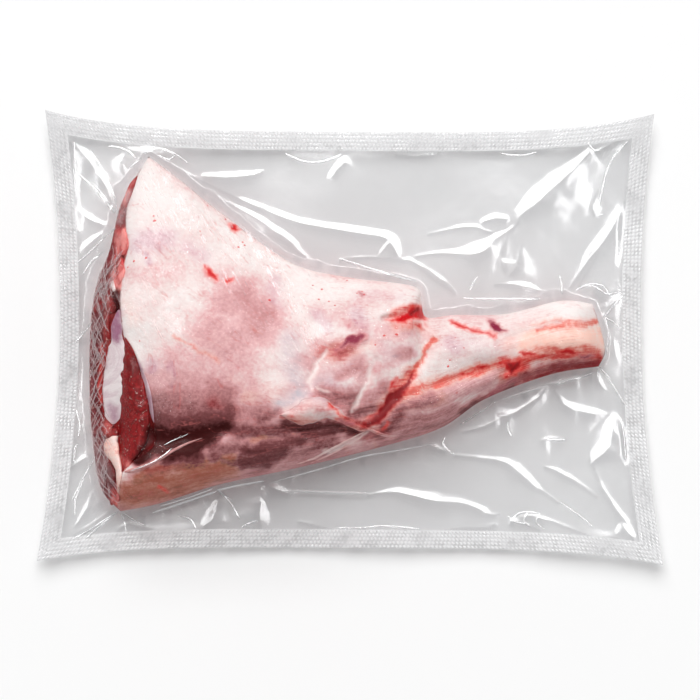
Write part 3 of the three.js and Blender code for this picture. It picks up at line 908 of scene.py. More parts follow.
def along_leg(pixels):
    """Places measured along the leg and across it, so that fibres drawn on them narrow with the leg, and how
    fibrous the meat is there, which is its lower side beyond the cut end."""
    shares = np.linspace(0, 1, SIDE_STEPS)
    sides = [in_pixels(even_line(side, shares) * MM) for side in (LOWER_SIDE, UPPER_SIDE)]
    lower, upper = (np.interp(pixels[:, 0], side[:, 0], side[:, 1]) for side in sides)
    share = (pixels[:, 1] - upper) / np.maximum(lower - upper, 1.0)
    low_down = soft_step(share, *FIBRES_ACROSS)
    fibrous = np.maximum(low_down * soft_step(pixels[:, 0], *FIBRES_FROM), soft_step(share, *LOWEST))
    slant = FAN_SLANT * np.minimum(pixels[:, 0] - FAN_END, 0) * (1 - low_down)
    return np.stack([pixels[:, 0] * PIXEL, (share - slant) * LEG_WIDTH, 0 * share], axis=-1), fibrous


fibrous_share = along_leg(in_pixels(corners_of(shank)))[1].mean()
print("share of the shank that is fibrous:", round(float(fibrous_share), 2))

# %% Paint every piece of meat
FACING_UP = (-0.6, -0.1)
WASH_WANDER = [(4.0, 28.0), (2.5, 11.0), (1.5, 5.0)]
WASH_SEED = 80
MARK_WANDER = [(3.0, 11.0), (1.6, 4.5)]
MARK_SEED = 90
UNDERSIDE_FLESH = 0.38
UNDERSIDE_PATCHES = 0.4
PATCH_LENGTH = 40.0
PATCH_SEED = 95


def paint_meat(piece):
    """Every wash and mark on one piece, faded out towards its underside."""
    pixels = in_pixels(corners_of(piece))
    normals = np.empty(len(pixels) * 3)
    piece.data.vertex_normals.foreach_get("vector", normals)
    upper_side = soft_step(normals[2::3], *FACING_UP)
    layers = {"silver": np.full(len(pixels), NO_MARK)}
    layers["lean"] = NO_MARK + (past_cover(pixels) - NO_MARK) * upper_side
    loose = wandered(pixels, WASH_WANDER, WASH_SEED)
    underside = UNDERSIDE_FLESH + UNDERSIDE_PATCHES * ripple(loose, PATCH_LENGTH, PATCH_SEED)
    layers["flesh"] = underside + (washed(loose, FLESH) - underside) * upper_side
    for name, washes in GLAZES.items():
        layers[name] = washed(loose, washes) * upper_side
    firm = wandered(pixels, MARK_WANDER, MARK_SEED)
    for name, lines in MARKS.items():
        layers[name] = np.full(len(pixels), NO_MARK)
        for line in lines:
            close, distance, _, _, half = near_line(firm, line)
            layers[name][close] = np.maximum(layers[name][close], half - distance)
        layers[name] = NO_MARK + (layers[name] - NO_MARK) * upper_side
    layers.update({"lean": WHOLLY} if piece.name.startswith("muscle") else {})
    layers.update(PIECE_PAINT.get(piece.name, {}))
    for name, values in layers.items():
        paint(piece, name, values)
    leg, fibrous = along_leg(pixels)
    paint(piece, "fibrous", fibrous)
    layer = piece.data.attributes.new("leg", "FLOAT_VECTOR", "POINT")
    layer.data.foreach_set("vector", leg.astype(np.float32).ravel())


meat_pieces = [shank, *strips.values(), specks]
for piece in meat_pieces:
    paint_meat(piece)
print("painted:", [layer.name for layer in shank.data.attributes if layer.data_type == "FLOAT"])

# %% [markdown]
# ## The finish of raw meat
# Fat is nearly white with a blush where muscle lies under it, and cut muscle is dark red with fine white
# marbling. A node group gives the grain that all of it shares: a slow mottle, fibres that follow the leg,
# fine specks and thin branching veins. The material turns the painted depth of flesh into colour with one
# ramp, so that noise added to the depth only ever gives colours that meat has. Then it lays the glazes
# and marks over it. Most glazes may only darken what lies under them, as thin blood does. An unrest of
# three values says how much of the mottle, the fibres and the specks is stirred into a wash or an edge.

# %% Grain shared by fat and muscle
NOISE_MIDDLE = 0.5
GRAIN_OUTPUTS = ("Mottle", "Fibre", "Speck", "Vein", "Dot", "Height")
FIBRE_STRETCH = (0.07, 1.0, 1.0)
VEIN_STRETCH = (0.16, 1.0, 1.0)
VEIN_WIDTH = 0.014
DOT_CELLS = 1.2
DOT_SIZE = dict(low=0.72, high=1.0, to_high=0.11)
FIBRE_RELIEF = 0.7


def flesh_grain():
    """The node group of the grain: noise of several kinds, at a scale that the material sets."""
    group = bpy.data.node_groups.new("flesh grain", "ShaderNodeTree")
    for name in GRAIN_OUTPUTS:
        group.interface.new_socket(name, in_out="OUTPUT", socket_type="NodeSocketFloat")
    group.interface.new_socket("Cells per metre", in_out="INPUT", socket_type="NodeSocketFloat")
    source = group.nodes.new("NodeGroupInput")
    result = group.nodes.new("NodeGroupOutput")
    place = node(group, "ShaderNodeTexCoord").outputs["Object"]
    scale = source.outputs["Cells per metre"]

    def grain(times, vector=place, detail=3.0, roughness=0.55):
        """Noise with so many times the cells of the group."""
        cells = maths(group, "MULTIPLY", scale, times)
        settings = {"Vector": vector, "Scale": cells, "Detail": detail, "Roughness": roughness}
        return node(group, "ShaderNodeTexNoise", settings).outputs["Fac"]

    leg = node(group, "ShaderNodeAttribute", attribute_name="leg").outputs["Vector"]
    drawn = node(group, "ShaderNodeMapping", {"Vector": leg, "Scale": FIBRE_STRETCH}).outputs[0]
    mottle = grain(1.0, detail=6.0, roughness=0.66)
    fibre = grain(7.0, drawn, detail=5.0, roughness=0.65)
    speck = grain(5.5, detail=4.0, roughness=0.6)
    thread = node(group, "ShaderNodeMapping", {"Vector": leg, "Scale": VEIN_STRETCH}).outputs[0]
    winding = grain(1.6, thread, detail=4.0, roughness=0.6)
    branch = maths(group, "ABSOLUTE", maths(group, "SUBTRACT", winding, NOISE_MIDDLE))
    vein = ramp(group, branch, 0.0, VEIN_WIDTH, 1.0, 0.0)
    dot_scale = maths(group, "MULTIPLY", scale, DOT_CELLS)
    cells = node(group, "ShaderNodeTexVoronoi", {"Vector": place, "Scale": dot_scale})
    lot = node(group, "ShaderNodeSeparateColor", {"Color": cells.outputs["Color"]}).outputs
    size = ramp(group, lot["Red"], **DOT_SIZE)
    dot = maths(group, "LESS_THAN", cells.outputs["Distance"], size)
    height = maths(group, "MULTIPLY_ADD", fibre, FIBRE_RELIEF, speck)
    for name, value in zip(GRAIN_OUTPUTS, (mottle, fibre, speck, vein, dot, height)):
        group.links.new(value, result.inputs[name])
    return group


grain_group = flesh_grain()
print("grain outputs:", [item.name for item in grain_group.interface.items_tree])

# %% Meat colours
FLESH_RAMP = [(0.0, colour(241, 232, 229)), (0.18, colour(235, 214, 211)), (0.36, colour(223, 172, 173)),
              (0.55, colour(194, 134, 135)), (0.75, colour(130, 72, 74)), (1.0, colour(62, 12, 12))]
GLAZE_COLOURS = {
    "violet": (colour(216, 176, 188), colour(176, 112, 130)),
    "pearl": (colour(216, 208, 212), colour(194, 192, 200)),
    "peach": (colour(252, 222, 212), colour(255, 206, 190)),
    "rose": (colour(234, 178, 174), colour(200, 104, 102)),
    "coral": (colour(248, 178, 162), colour(226, 102, 90)),
    "tan": (colour(208, 148, 130), colour(176, 98, 80)),
    "stain": (colour(246, 150, 134), colour(212, 46, 44)),
    "wine": (colour(190, 92, 92), colour(140, 40, 44)),
}
OPAQUE_GLAZES = ("pearl", "peach")
LEAN = colour(152, 32, 34)
LEAN_DARK = colour(112, 18, 21)
LEAN_WASHES = {
    "bright": (colour(204, 78, 78), colour(248, 156, 150)),
    # Partly muscle colour, partly painted shade between muscle ends and at the wedge's lower end.
    "dark_and_shade": (colour(48, 8, 10), colour(76, 12, 14)),
    "outer": (colour(96, 38, 42), colour(124, 56, 60)),
}
MARBLING = colour(226, 176, 166)
SILVER = colour(244, 232, 232)
SILVER_FOLD = colour(206, 172, 182)
SILVER_VIOLET = colour(168, 112, 138)
VEIN = colour(206, 110, 108)
MARK_COLOURS = {
    "maroon": (colour(216, 132, 136), colour(134, 30, 58)),
    "blood": (colour(240, 92, 84), colour(198, 14, 24)),
    "clot": (colour(184, 40, 42), colour(126, 10, 16)),
    "seam": (colour(240, 214, 210), colour(250, 236, 233)),
}
print("colours of glazes:", len(GLAZE_COLOURS), "of marks:", len(MARK_COLOURS))

# %% Spans of the meat's grain
GRAIN_CELLS = 130.0
PATCH_UNREST = (1.2, 0.6, 0.5)
PATCH_SPAN = (0.02, 0.95)
EDGE_UNREST = (3.0, 0.4, 3.0)
FIBRE_UNREST = dict(low=0.0, high=1.0, to_low=0.08, to_high=0.55)
SLOW_UNREST = dict(low=0.4, high=0.85, to_low=0.38, to_high=0.28)
FINE_UNREST = 0.34
FAT_BLUSH = 0.03
BODY_UNREST = (1.2, 1.8, 0.6)
BODY_SPAN = (0.2, 1.3)
VEINED = dict(low=0.42, high=0.6, to_high=0.42)
DOTTED = 0.6
LEAN_SPAN = (0.38, 0.62)
LEAN_WASH_SPAN = (0.36, 0.62)
STREAKS = dict(low=0.6, high=0.72, to_high=0.3)
FLECKS = dict(low=0.63, high=0.68, to_high=0.75)
SILVER_FOLDS = dict(low=0.45, high=0.62, to_high=0.5)
THICKNESS_UNREST = (5.0, 0.0, 4.0)
THICKNESS_SPAN = (-1.0, 4.0)
MARK_EDGE = 2.8
MEAT_ROUGHNESS = dict(low=0.3, high=0.7, to_low=0.4, to_high=0.55)
MEAT_SPECULAR = 0.06
GRAIN_BUMP = {"Strength": 0.5, "Distance": 0.5 * MM}
print("grain cells in a centimetre:", GRAIN_CELLS / 100)


# %% Meat material
def meat_finish(material):
    """Colour from the painted values, with the grain stirred into every edge and wash."""
    material.use_nodes = True
    tree = material.node_tree
    shader = tree.nodes["Principled BSDF"]
    grain = node(tree, "ShaderNodeGroup", node_tree=grain_group)
    grain.inputs["Cells per metre"].default_value = GRAIN_CELLS
    mottle, fibre, speck, vein, dot, height = (grain.outputs[name] for name in GRAIN_OUTPUTS)
    unrest, streak, rag = (maths(tree, "SUBTRACT", value, NOISE_MIDDLE) for value in (mottle, fibre, speck))
    flesh = painted(tree, "flesh")

    def stirred(value, slow, long, fine):
        """A value with mottle, fibres and specks added to it."""
        value = maths(tree, "MULTIPLY_ADD", unrest, slow, value)
        value = maths(tree, "MULTIPLY_ADD", streak, long, value)
        return maths(tree, "MULTIPLY_ADD", rag, fine, value)

    def patchy(name):
        """A painted wash, broken up by the grain."""
        value = painted(tree, name)
        return ramp(tree, maths(tree, "MULTIPLY", value, stirred(1.0, *PATCH_UNREST)), *PATCH_SPAN)

    def crisp(name, edge=1.0):
        """The inside of a painted mark, cut off with a ragged edge."""
        return ramp(tree, stirred(painted(tree, name), *EDGE_UNREST), -edge, edge)

    fibrous = ramp(tree, painted(tree, "fibrous"), **FIBRE_UNREST)
    slow = ramp(tree, flesh, **SLOW_UNREST)
    depth = stirred(maths(tree, "ADD", flesh, FAT_BLUSH), slow, fibrous, FINE_UNREST)
    stops = node(tree, "ShaderNodeValToRGB", {"Fac": depth})
    for k, (place, tone) in enumerate(FLESH_RAMP):
        stop = stops.color_ramp.elements[k] if k < 2 else stops.color_ramp.elements.new(place)
        stop.position = place
        stop.color = tone
    shade = stops.outputs["Color"]
    for name, (thin, thick) in GLAZE_COLOURS.items():
        share = patchy(name)
        body = ramp(tree, stirred(share, *BODY_UNREST), *BODY_SPAN)
        way = "MIX" if name in OPAQUE_GLAZES else "DARKEN"
        shade = blend(tree, share, shade, blend(tree, body, thin, thick), way)
    shade = blend(tree, maths(tree, "MULTIPLY", vein, ramp(tree, mottle, **VEINED)), shade, VEIN)
    shade = blend(tree, maths(tree, "MULTIPLY", dot, DOTTED), shade, VEIN)
    lean = blend(tree, ramp(tree, speck, *LEAN_SPAN), LEAN, LEAN_DARK)
    for name, (deep, pale) in LEAN_WASHES.items():
        lean = blend(tree, patchy(name), lean, blend(tree, ramp(tree, mottle, *LEAN_WASH_SPAN), deep, pale))
    lean = blend(tree, ramp(tree, fibre, **STREAKS), lean, MARBLING)
    lean = blend(tree, ramp(tree, speck, **FLECKS), lean, MARBLING)
    shade = blend(tree, crisp("lean"), shade, lean)
    silver = blend(tree, ramp(tree, fibre, **SILVER_FOLDS), SILVER, SILVER_FOLD)
    silver = blend(tree, patchy("violet"), silver, SILVER_VIOLET)
    shade = blend(tree, crisp("silver"), shade, silver)
    for name, (thin, thick) in MARK_COLOURS.items():
        thickness = ramp(tree, stirred(painted(tree, name), *THICKNESS_UNREST), *THICKNESS_SPAN)
        shade = blend(tree, crisp(name, MARK_EDGE), shade, blend(tree, thickness, thin, thick))
    tree.links.new(shade, shader.inputs["Base Color"])
    tree.links.new(ramp(tree, mottle, **MEAT_ROUGHNESS), shader.inputs["Roughness"])
    bump = node(tree, "ShaderNodeBump", {"Height": height, **GRAIN_BUMP})
    tree.links.new(bump.outputs[0], shader.inputs["Normal"])
    shader.inputs["Specular IOR Level"].default_value = MEAT_SPECULAR


meat_finish(meat_material)
print("meat nodes:", len(meat_material.node_tree.nodes))

# %% [markdown]
# ## The bag
# The bag is two flat sheets of film. The air is drawn out, so each sheet is pressed on the meat, spans a
# short web beside it and lies on the other sheet in the margin. The contents draw its sides in, most in
# their middle, and its corners curl up a little.

# %% Corners of the bag
BAG_LENGTH = 263.5 * MM
BAG_WIDTH = 191.5 * MM
OUT_OF_SQUARE = 1.7 * MM
UPPER_INSET = (3.4 * MM, 3.7 * MM)
BAG_CORNERS = {
    "lower_left": np.array([-BAG_LENGTH / 2, -BAG_WIDTH / 2 + OUT_OF_SQUARE]),
    "lower_right": np.array([BAG_LENGTH / 2, -BAG_WIDTH / 2]),
    "upper_left": np.array([-BAG_LENGTH / 2 + UPPER_INSET[0], BAG_WIDTH / 2]),
    "upper_right": np.array([BAG_LENGTH / 2 - UPPER_INSET[1], BAG_WIDTH / 2 - OUT_OF_SQUARE]),
}
print("bag's corners in mm:", {name: (place / MM).round(1).tolist() for name, place in BAG_CORNERS.items()})

# %% Outline and level of the bag
PULLED_IN = dict(left=-8.0 * MM, right=7.4 * MM, upper=-8.4 * MM, lower=6.3 * MM)
FLATNESS_ACROSS = 2
FLATNESS_LENGTHWISE = 4
SEAL_WIDTH = 8.5 * MM
EDGE_LIFT = 5.0 * MM
CORNER_CURL = 3.5 * MM
CURL_SHARPNESS = 4
EDGE_WAVE = 0.8 * MM
EDGE_WAVE_LENGTH = 83 * MM


def bag_side(start, end, pull, flatness, share):
    """A side of the bag, drawn in by the contents, most in its middle."""
    along = BAG_CORNERS[end] - BAG_CORNERS[start]
    inward = np.array([-along[1], along[0]]) / np.hypot(*along)
    bow = pull * (1 - np.abs(2 * share - 1) ** flatness)
    return BAG_CORNERS[start] + share[..., None] * along + bow[..., None] * inward


def bag_plan(s, t):
    """Places on the bag at shares s of its length and t of its width."""
    lower = bag_side("lower_left", "lower_right", PULLED_IN["lower"], FLATNESS_LENGTHWISE, s)
    upper = bag_side("upper_left", "upper_right", PULLED_IN["upper"], FLATNESS_LENGTHWISE, s)
    left = bag_side("lower_left", "upper_left", PULLED_IN["left"], FLATNESS_ACROSS, t)
    right = bag_side("lower_right", "upper_right", PULLED_IN["right"], FLATNESS_ACROSS, t)
    s = s[..., None]
    t = t[..., None]
    corners = (1 - s) * ((1 - t) * BAG_CORNERS["lower_left"] + t * BAG_CORNERS["upper_left"])
    corners = corners + s * ((1 - t) * BAG_CORNERS["lower_right"] + t * BAG_CORNERS["upper_right"])
    return lower * (1 - t) + upper * t + left * (1 - s) + right * s - corners


def bag_level(places):
    """Height of the flat of the bag: off the surface, curled at the corners and a little wavy."""
    x = places[..., 0]
    y = places[..., 1]
    corner = np.abs(4 * x * y / (BAG_LENGTH * BAG_WIDTH)) ** CURL_SHARPNESS
    return EDGE_LIFT + CORNER_CURL * corner + EDGE_WAVE * np.sin(2 * math.pi * (x - y) / EDGE_WAVE_LENGTH)


def film_grid(columns, rows):
    """The film inside the seal as a grid of places on the plan."""
    s = np.linspace(SEAL_WIDTH / BAG_LENGTH, 1 - SEAL_WIDTH / BAG_LENGTH, columns + 1)
    t = np.linspace(SEAL_WIDTH / BAG_WIDTH, 1 - SEAL_WIDTH / BAG_WIDTH, rows + 1)
    return bag_plan(*np.meshgrid(s, t, indexing="ij"))


print("film inside the seal in mm:", (np.ptp(film_grid(2, 2).reshape(-1, 2), axis=0) / MM).round(1))

# %% [markdown]
# ## Folds of the film
# Slack film folds where the bag is drawn in. A fold shows as a white band where one of its flanks faces
# the cards, so each fold is written as the band that is seen, and its flank is tilted by a fixed angle
# across that band. Behind the crest the film falls away slowly, and there a painted shade dims it.

# %% Fold lines: (x, y, half width)
FOLDS = [
    [(72, 141, 2), (85, 150, 4), (98, 164, 6), (108, 180, 5), (113, 196, 3), (119, 214, 0.5)],
    [(76, 206, 2.5), (88, 214, 3.5), (98, 220, 2.5), (112, 225, 1)],
    [(126, 156, 1), (125, 166, 2.4), (128, 178, 1)],
    [(92, 490, 1), (86, 502, 3), (80, 514, 3), (74, 526, 1)],
    [(131, 522, 1.5), (142, 525, 2.5), (152, 527, 1.5)],
    [(74, 252, 2), (85, 243, 3), (100, 232, 2), (113, 226, 1)],
    [(330, 174, 2.5), (337, 165, 2.5), (342, 160, 2.5)],
    [(396, 153, 1), (410, 154, 1.6), (424, 153.5, 1.6), (440, 151, 0.8)],
    [(205, 173, 3), (225, 173, 4), (250, 172, 3), (262, 170, 1)],
    [(175, 166, 1), (225, 190, 1.5), (260, 204, 2.5), (300, 219, 3), (350, 227, 4), (385, 233, 4),
     (396, 240, 6), (401, 252, 4)],
    [(165, 160, 1), (190, 176, 1.5), (218, 194, 2), (240, 205, 3), (260, 215, 4), (280, 228, 4.5),
     (295, 240, 4), (303, 250, 3), (309, 257, 1)],
    [(240, 213, 1.5), (262, 228, 1.5), (285, 240, 1.5), (297, 248, 1.5)],
    [(338, 261, 1.5), (342, 257, 1.5), (370, 255, 1.5), (405, 258, 1.5)],
    [(410, 258, 1.5), (425, 266, 1.6), (440, 276, 1.6), (450, 284, 1.3), (457, 293, 0.8)],
    [(415, 263, 0.8), (432, 275, 1.2), (444, 283, 1.2), (453, 291, 0.6)],
    [(416, 255, 1), (430, 252.5, 1), (445, 251, 1.5), (458, 250, 3), (470, 247.5, 6.5), (480, 245, 6.5),
     (488, 239, 4), (500, 232, 2.5), (510, 227, 1.5), (519, 219.5, 0.6)],
    [(428, 233, 0.6), (445, 229, 1), (462, 225, 1.6), (478, 225.5, 1.2), (486, 229, 1.2), (493, 231, 0.6)],
    [(482, 220, 1.5), (494, 215, 2.5), (506, 216, 2.5)],
    [(519, 210, 5), (530, 199, 8), (540, 188, 8), (551, 178.5, 8.5), (562, 170.5, 8), (575, 161, 5),
     (584, 152, 4), (588, 146, 1.5)],
    [(596, 149, 3), (603, 144, 3), (612, 141, 2.5), (622, 137.5, 1)],
    [(518, 222, 0.6), (508, 232, 1), (503, 243, 1.5), (498, 255, 3), (496, 263, 5), (499, 271, 4)],
    [(520, 245, 0.6), (516, 257, 3), (512, 266, 4), (508, 273, 2)],
    [(622, 200, 3), (612, 215, 6), (603, 230, 7), (594, 243, 6), (586, 255, 4.5), (577, 271, 3.5),
     (569, 286, 1.5)],
    [(628, 204, 0.6), (605, 240, 1.2), (590, 263, 1.4), (577, 286, 0.8)],
    [(495, 283.5, 1), (505, 282, 2), (515, 281.5, 3), (522, 282, 3.8), (530, 284, 3), (540, 289, 1.5),
     (552, 295, 0.6)],
    [(602, 314, 2), (608, 303, 3), (615, 295, 4), (623, 287, 2)],
    [(597, 190, 0.8), (590, 202, 2), (588, 210, 3.2), (592, 217, 2)],
    [(70, 466, 1.5), (80, 458, 2.5), (92, 454, 1.5), (97, 452, 1)],
    [(62, 538, 1.5), (80, 528, 3), (95, 518, 3), (110, 509, 2)],
    [(113, 533, 1.5), (118, 528, 1.5), (126, 522, 1.5)],
    [(218, 490, 0.5), (214, 503, 3), (208, 515, 5), (200, 528, 2)],
    [(265, 504, 4), (266, 516, 6), (265, 527, 4)],
    [(270, 482, 2.5), (276, 485, 4), (285, 489, 3), (295, 490, 1)],
    [(545, 466, 0.8), (556, 468, 1.8), (568, 474, 2.2), (580, 482, 1.2), (598, 496, 0.6)],
    [(367, 494.5, 0.6), (382, 491, 1.4), (398, 488.5, 3.5), (412, 491, 4), (427, 494, 5), (442, 496, 5.5),
     (458, 498, 4.5), (472, 502.5, 3.5), (484, 507.5, 3.5), (492, 512.5, 2), (500, 513, 0.6)],
    [(432, 443, 2), (438, 446, 2), (446, 450, 1)],
    [(454, 454, 0.8), (470, 455, 1.2), (490, 457, 2), (505, 459, 3), (515, 463, 4), (522, 469, 4),
     (530, 476, 3.5), (537, 484, 2.5), (545, 491, 1), (560, 502, 0.7)],
    [(300, 520, 1.5), (320, 525, 1.5), (332, 528, 1.5)],
    [(445, 529, 0.8), (460, 526, 2), (475, 524.5, 3.5), (488, 524, 3.5), (493, 522, 2)],
    [(509, 521, 2), (514, 518, 2.5), (526, 522, 1.5), (540, 529, 1)],
    [(521, 516, 1.5), (530, 514, 2), (540, 516, 2), (556, 521, 1.2), (575, 529, 1), (592, 536, 0.6)],
    [(603, 536, 0.8), (612, 535, 2), (625, 538, 1), (633, 541, 0.6)],
    [(503, 411, 4.5), (508, 411, 4), (515, 409.5, 2.5), (525, 404, 2), (535, 397, 2), (542, 390, 1.5),
     (545, 386, 0.8)],
    [(502, 415, 2), (490, 422, 1.2), (478, 427, 0.9), (462, 431, 0.5)],
    [(556, 390, 0.7), (561, 397, 1.2), (567, 402, 3), (575, 405, 4.4), (585, 408, 4.4), (595, 410, 3.6),
     (608, 413, 0.8)],
    [(611, 414, 2), (606, 425, 8), (601, 436, 12), (596, 447, 10), (592, 457, 5), (590, 464, 1.5)],
    [(592, 459, 0.8), (599, 475, 1), (605, 488, 1.6), (613, 500, 2), (620, 510, 2.2), (628, 519, 3)],
    [(622, 519, 1.5), (630, 527, 5), (636, 538, 3)],
    [(543, 438, 2.5), (550, 436.5, 1.5), (566, 438, 0.8)],
    [(598, 372, 1), (601, 380, 2.4), (606, 388, 1)],
    [(614, 338, 0.8), (618, 350, 2), (622, 364, 0.8)],
    [(619, 280, 1), (623, 288, 2.4), (625, 298, 1)],
]
print("folds:", len(FOLDS))

# %% Heights of the folds
FOLD_SEED = 60
LEAST_HALF = 0.4
LIVELINESS = 0.4
LIVELY_LENGTH = 16.0
FLANK_TILT = math.tan(math.radians(16))
FLANK_CURVE = 1.6
FALL_AWAY = 4.0
END_FADE = 1.5
SHADE_FROM = 0.6
SHADE_WHOLE = 1.1
SHADE_REACH = 2.2
SHADE_LEAST = 1.5


def folded(pixels):
    """Height of the folds at each point of the film, and the painted shade behind each crest."""
    height, shade = np.zeros((2, len(pixels)))
    for seed, line in enumerate(FOLDS, start=FOLD_SEED):
        close, _, offset, past, half = near_line(pixels, line)
        half = np.maximum(half, LEAST_HALF)
        liveliness = 1 + LIVELINESS * ripple(pixels[close], LIVELY_LENGTH, seed)
        crest = 2 * half * FLANK_TILT * PIXEL * liveliness
        flank = np.clip((half - offset) / (2 * half), 0, 1) ** FLANK_CURVE
        behind = np.maximum(-half - offset, 0)
        ends = np.exp(-((past / (END_FADE * half)) ** 2))
        falling = np.exp(-((behind / (FALL_AWAY * half)) ** 2))
        height[close] = np.maximum(height[close], crest * flank * ends * falling)
        # Painted shade: the film just behind each crest is dimmed.
        clearing = np.exp(-((behind / (SHADE_REACH * half + SHADE_LEAST)) ** 2))
        painted_shade = soft_step(-offset, SHADE_FROM * half, SHADE_WHOLE * half) * clearing
        shade[close] = np.maximum(shade[close], painted_shade * ends)
    return height, shade


UPPER_CELLS = (364, 262)
film_plan = film_grid(*UPPER_CELLS)
film_pixels = in_pixels(film_plan).reshape(-1, 2)
slack, fold_shade = (field.reshape(film_plan.shape[:2]) for field in folded(film_pixels))
print("highest fold in mm:", round(slack.max() / MM, 2))

# %% [markdown]
# ## Film drawn onto the meat
# A cloth simulation could press the film on the meat, but a simple rule is steadier. The film starts
# where the slack bag or the meat holds it up. Then, round by round, each point rises to a little below
# the mean of its neighbours, which spans a web from the meat out to the flat bag. How far below differs
# from place to place, so the foot of the web isn't an even line. The lower film follows the same rule
# upside down.

# %% Upper film
FILM_GAP = 0.3 * MM
FOLD_FADE = 4.0 * MM
SLACK_WAVES = [(0.9 * MM, 34 * MM), (0.3 * MM, 13 * MM), (0.07 * MM, 5 * MM)]
SLACK_SEED = 31
WEB_PULL = 0.14 * MM
PULL_WAVES = [(1.1, 14 * MM), (0.9, 4 * MM)]
PULL_SEED = 41
LEAST_PULL = 0.2
WEB_ROUNDS = 260


def neighbours(field):
    """Mean of the four neighbours of each point of a grid."""
    wide = np.pad(field, 1, mode="edge")
    return (wide[:-2, 1:-1] + wide[2:, 1:-1] + wide[1:-1, :-2] + wide[1:-1, 2:]) / 4


def spread(field):
    """Each point of a grid raised to its highest neighbour."""
    wide = np.pad(field, 1, mode="edge")
    shifts = [wide[i : i + field.shape[0], j : j + field.shape[1]] for i in range(3) for j in range(3)]
    return np.max(shifts, axis=0)


from_seal = np.minimum.outer(*(np.minimum(np.arange(n + 1), np.arange(n, -1, -1)) for n in UPPER_CELLS))
seal_fade = soft_step(from_seal * BAG_WIDTH / UPPER_CELLS[1], 0.0, FOLD_FADE)
for seed, (amount, length) in enumerate(SLACK_WAVES, start=SLACK_SEED):
    slack += amount * ripple(film_plan, length, seed)
flat_film = bag_level(film_plan) + slack * seal_fade
meat_top = height_on(meat_surface, film_plan, missing=-1.0)
held = np.maximum(flat_film, spread(meat_top) + FILM_GAP)
pull = np.ones_like(held)
for seed, (amount, length) in enumerate(PULL_WAVES, start=PULL_SEED):
    pull += amount * ripple(film_plan, length, seed)
pull = WEB_PULL * np.maximum(pull, LEAST_PULL)
upper_film = held.copy()
for _ in range(WEB_ROUNDS):
    upper_film = np.maximum(held, neighbours(upper_film) - pull)
print("film stands up to mm:", round(upper_film.max() / MM, 1))

# %% [markdown]
# ## Pleats beside the meat
# Where much film has to go round a tight end it is gathered into small pleats that run out from the meat.
# Each point of the film looks up the nearest place on the shank's outline. Waves along that outline are
# then pleats that stand square to it, and they fade out with the distance.

# %% Pleats
GATHERED = [(1.0, 22, [(138, 152), (165, 150)]), (1.0, 26, [(598, 304), (612, 332), (604, 366)]),
            (1.0, 24, [(98, 500), (122, 516), (150, 513)]),
            (0.6, 20, [(114, 210), (98, 260), (88, 320), (88, 450)]),
            (0.6, 14, [(170, 506), (265, 482), (360, 460)]), (0.7, 18, [(500, 402), (580, 374)]),
            (0.5, 14, [(410, 290), (440, 302)])]
PLEAT_HEIGHT = 0.42 * MM
PLEAT_LENGTH = 9.0
PLEAT_REACH = 26.0
PLEAT_WAVES = [(1.0, 1.0), (0.6, 0.5)]
PLEAT_SEED = 46
OUTLINE_STEPS = 300
CLEAR_SPAN = (FILM_GAP, 4 * FILM_GAP)

outline_sides = (CUT_SIDE, UPPER_SIDE, KNUCKLE_SIDE[::-1], LOWER_SIDE[::-1])
outline_shares = np.linspace(0, 1, OUTLINE_STEPS)
outline = np.vstack([in_pixels(even_line(side, outline_shares) * MM) for side in outline_sides])
outline_run = np.concatenate([[0.0], np.cumsum(np.hypot(*np.diff(outline, axis=0).T))])
finder = KDTree(len(outline))
for number, spot in enumerate(outline):
    finder.insert((*spot, 0.0), number)
finder.balance()
nearest = [finder.find((*spot, 0.0))[1:] for spot in film_pixels]
pleat_run = np.array([(outline_run[number], 0.0) for number, _ in nearest])
away = np.array([distance for _, distance in nearest])
pleats = np.zeros(len(film_pixels))
for seed, (amount, share) in enumerate(PLEAT_WAVES, start=PLEAT_SEED):
    pleats += amount * ripple(pleat_run, share * PLEAT_LENGTH, seed)
pleats = pleats.reshape(upper_film.shape)
gathered = washed(film_pixels, GATHERED) * np.exp(-((away / PLEAT_REACH) ** 2))
clear_of_meat = soft_step(upper_film - spread(meat_top), *CLEAR_SPAN)
gathered = gathered.reshape(upper_film.shape) * clear_of_meat * seal_fade
upper_film = upper_film + PLEAT_HEIGHT * pleats * gathered
print("deepest pleat in mm:", round(np.abs(PLEAT_HEIGHT * pleats * gathered).max() / MM, 2))

# %% Lower film
LOWER_CELLS = (182, 131)
FILM_APART = 0.4 * MM
LEAST_LEVEL = 0.15 * MM
UNDER_GAP = 0.2 * MM
LOWER_PULL = 4 * WEB_PULL
LOWER_ROUNDS = 120

lower_plan = film_grid(*LOWER_CELLS)
lower_flat = np.minimum(bag_level(lower_plan) - FILM_APART, upper_film[::2, ::2] - FILM_APART)
meat_under = height_on(meat_surface, lower_plan, missing=1.0, below=True)
lower_held = np.minimum(lower_flat, -spread(-meat_under) - UNDER_GAP)
lower_film = lower_held.copy()
for _ in range(LOWER_ROUNDS):
    lower_film = np.minimum(lower_held, neighbours(lower_film) + LOWER_PULL)
lower_film = np.maximum(lower_film, LEAST_LEVEL)
print("lower film reaches down to mm:", round(lower_film.min() / MM, 2))

# %% Film pieces
film_material = bpy.data.materials.new("clear_film")
lower_material = bpy.data.materials.new("clear_film_lower")
upper_bm = bmesh.new()
add_sheet(upper_bm, with_height(film_plan, upper_film))
film_upper = finish_piece(upper_bm, "film_upper", film_material, closed=False)
lower_bm = bmesh.new()
add_sheet(lower_bm, with_height(lower_plan, lower_film))
bmesh.ops.reverse_faces(lower_bm, faces=lower_bm.faces)
film_lower = finish_piece(lower_bm, "film_lower", lower_material, closed=False)

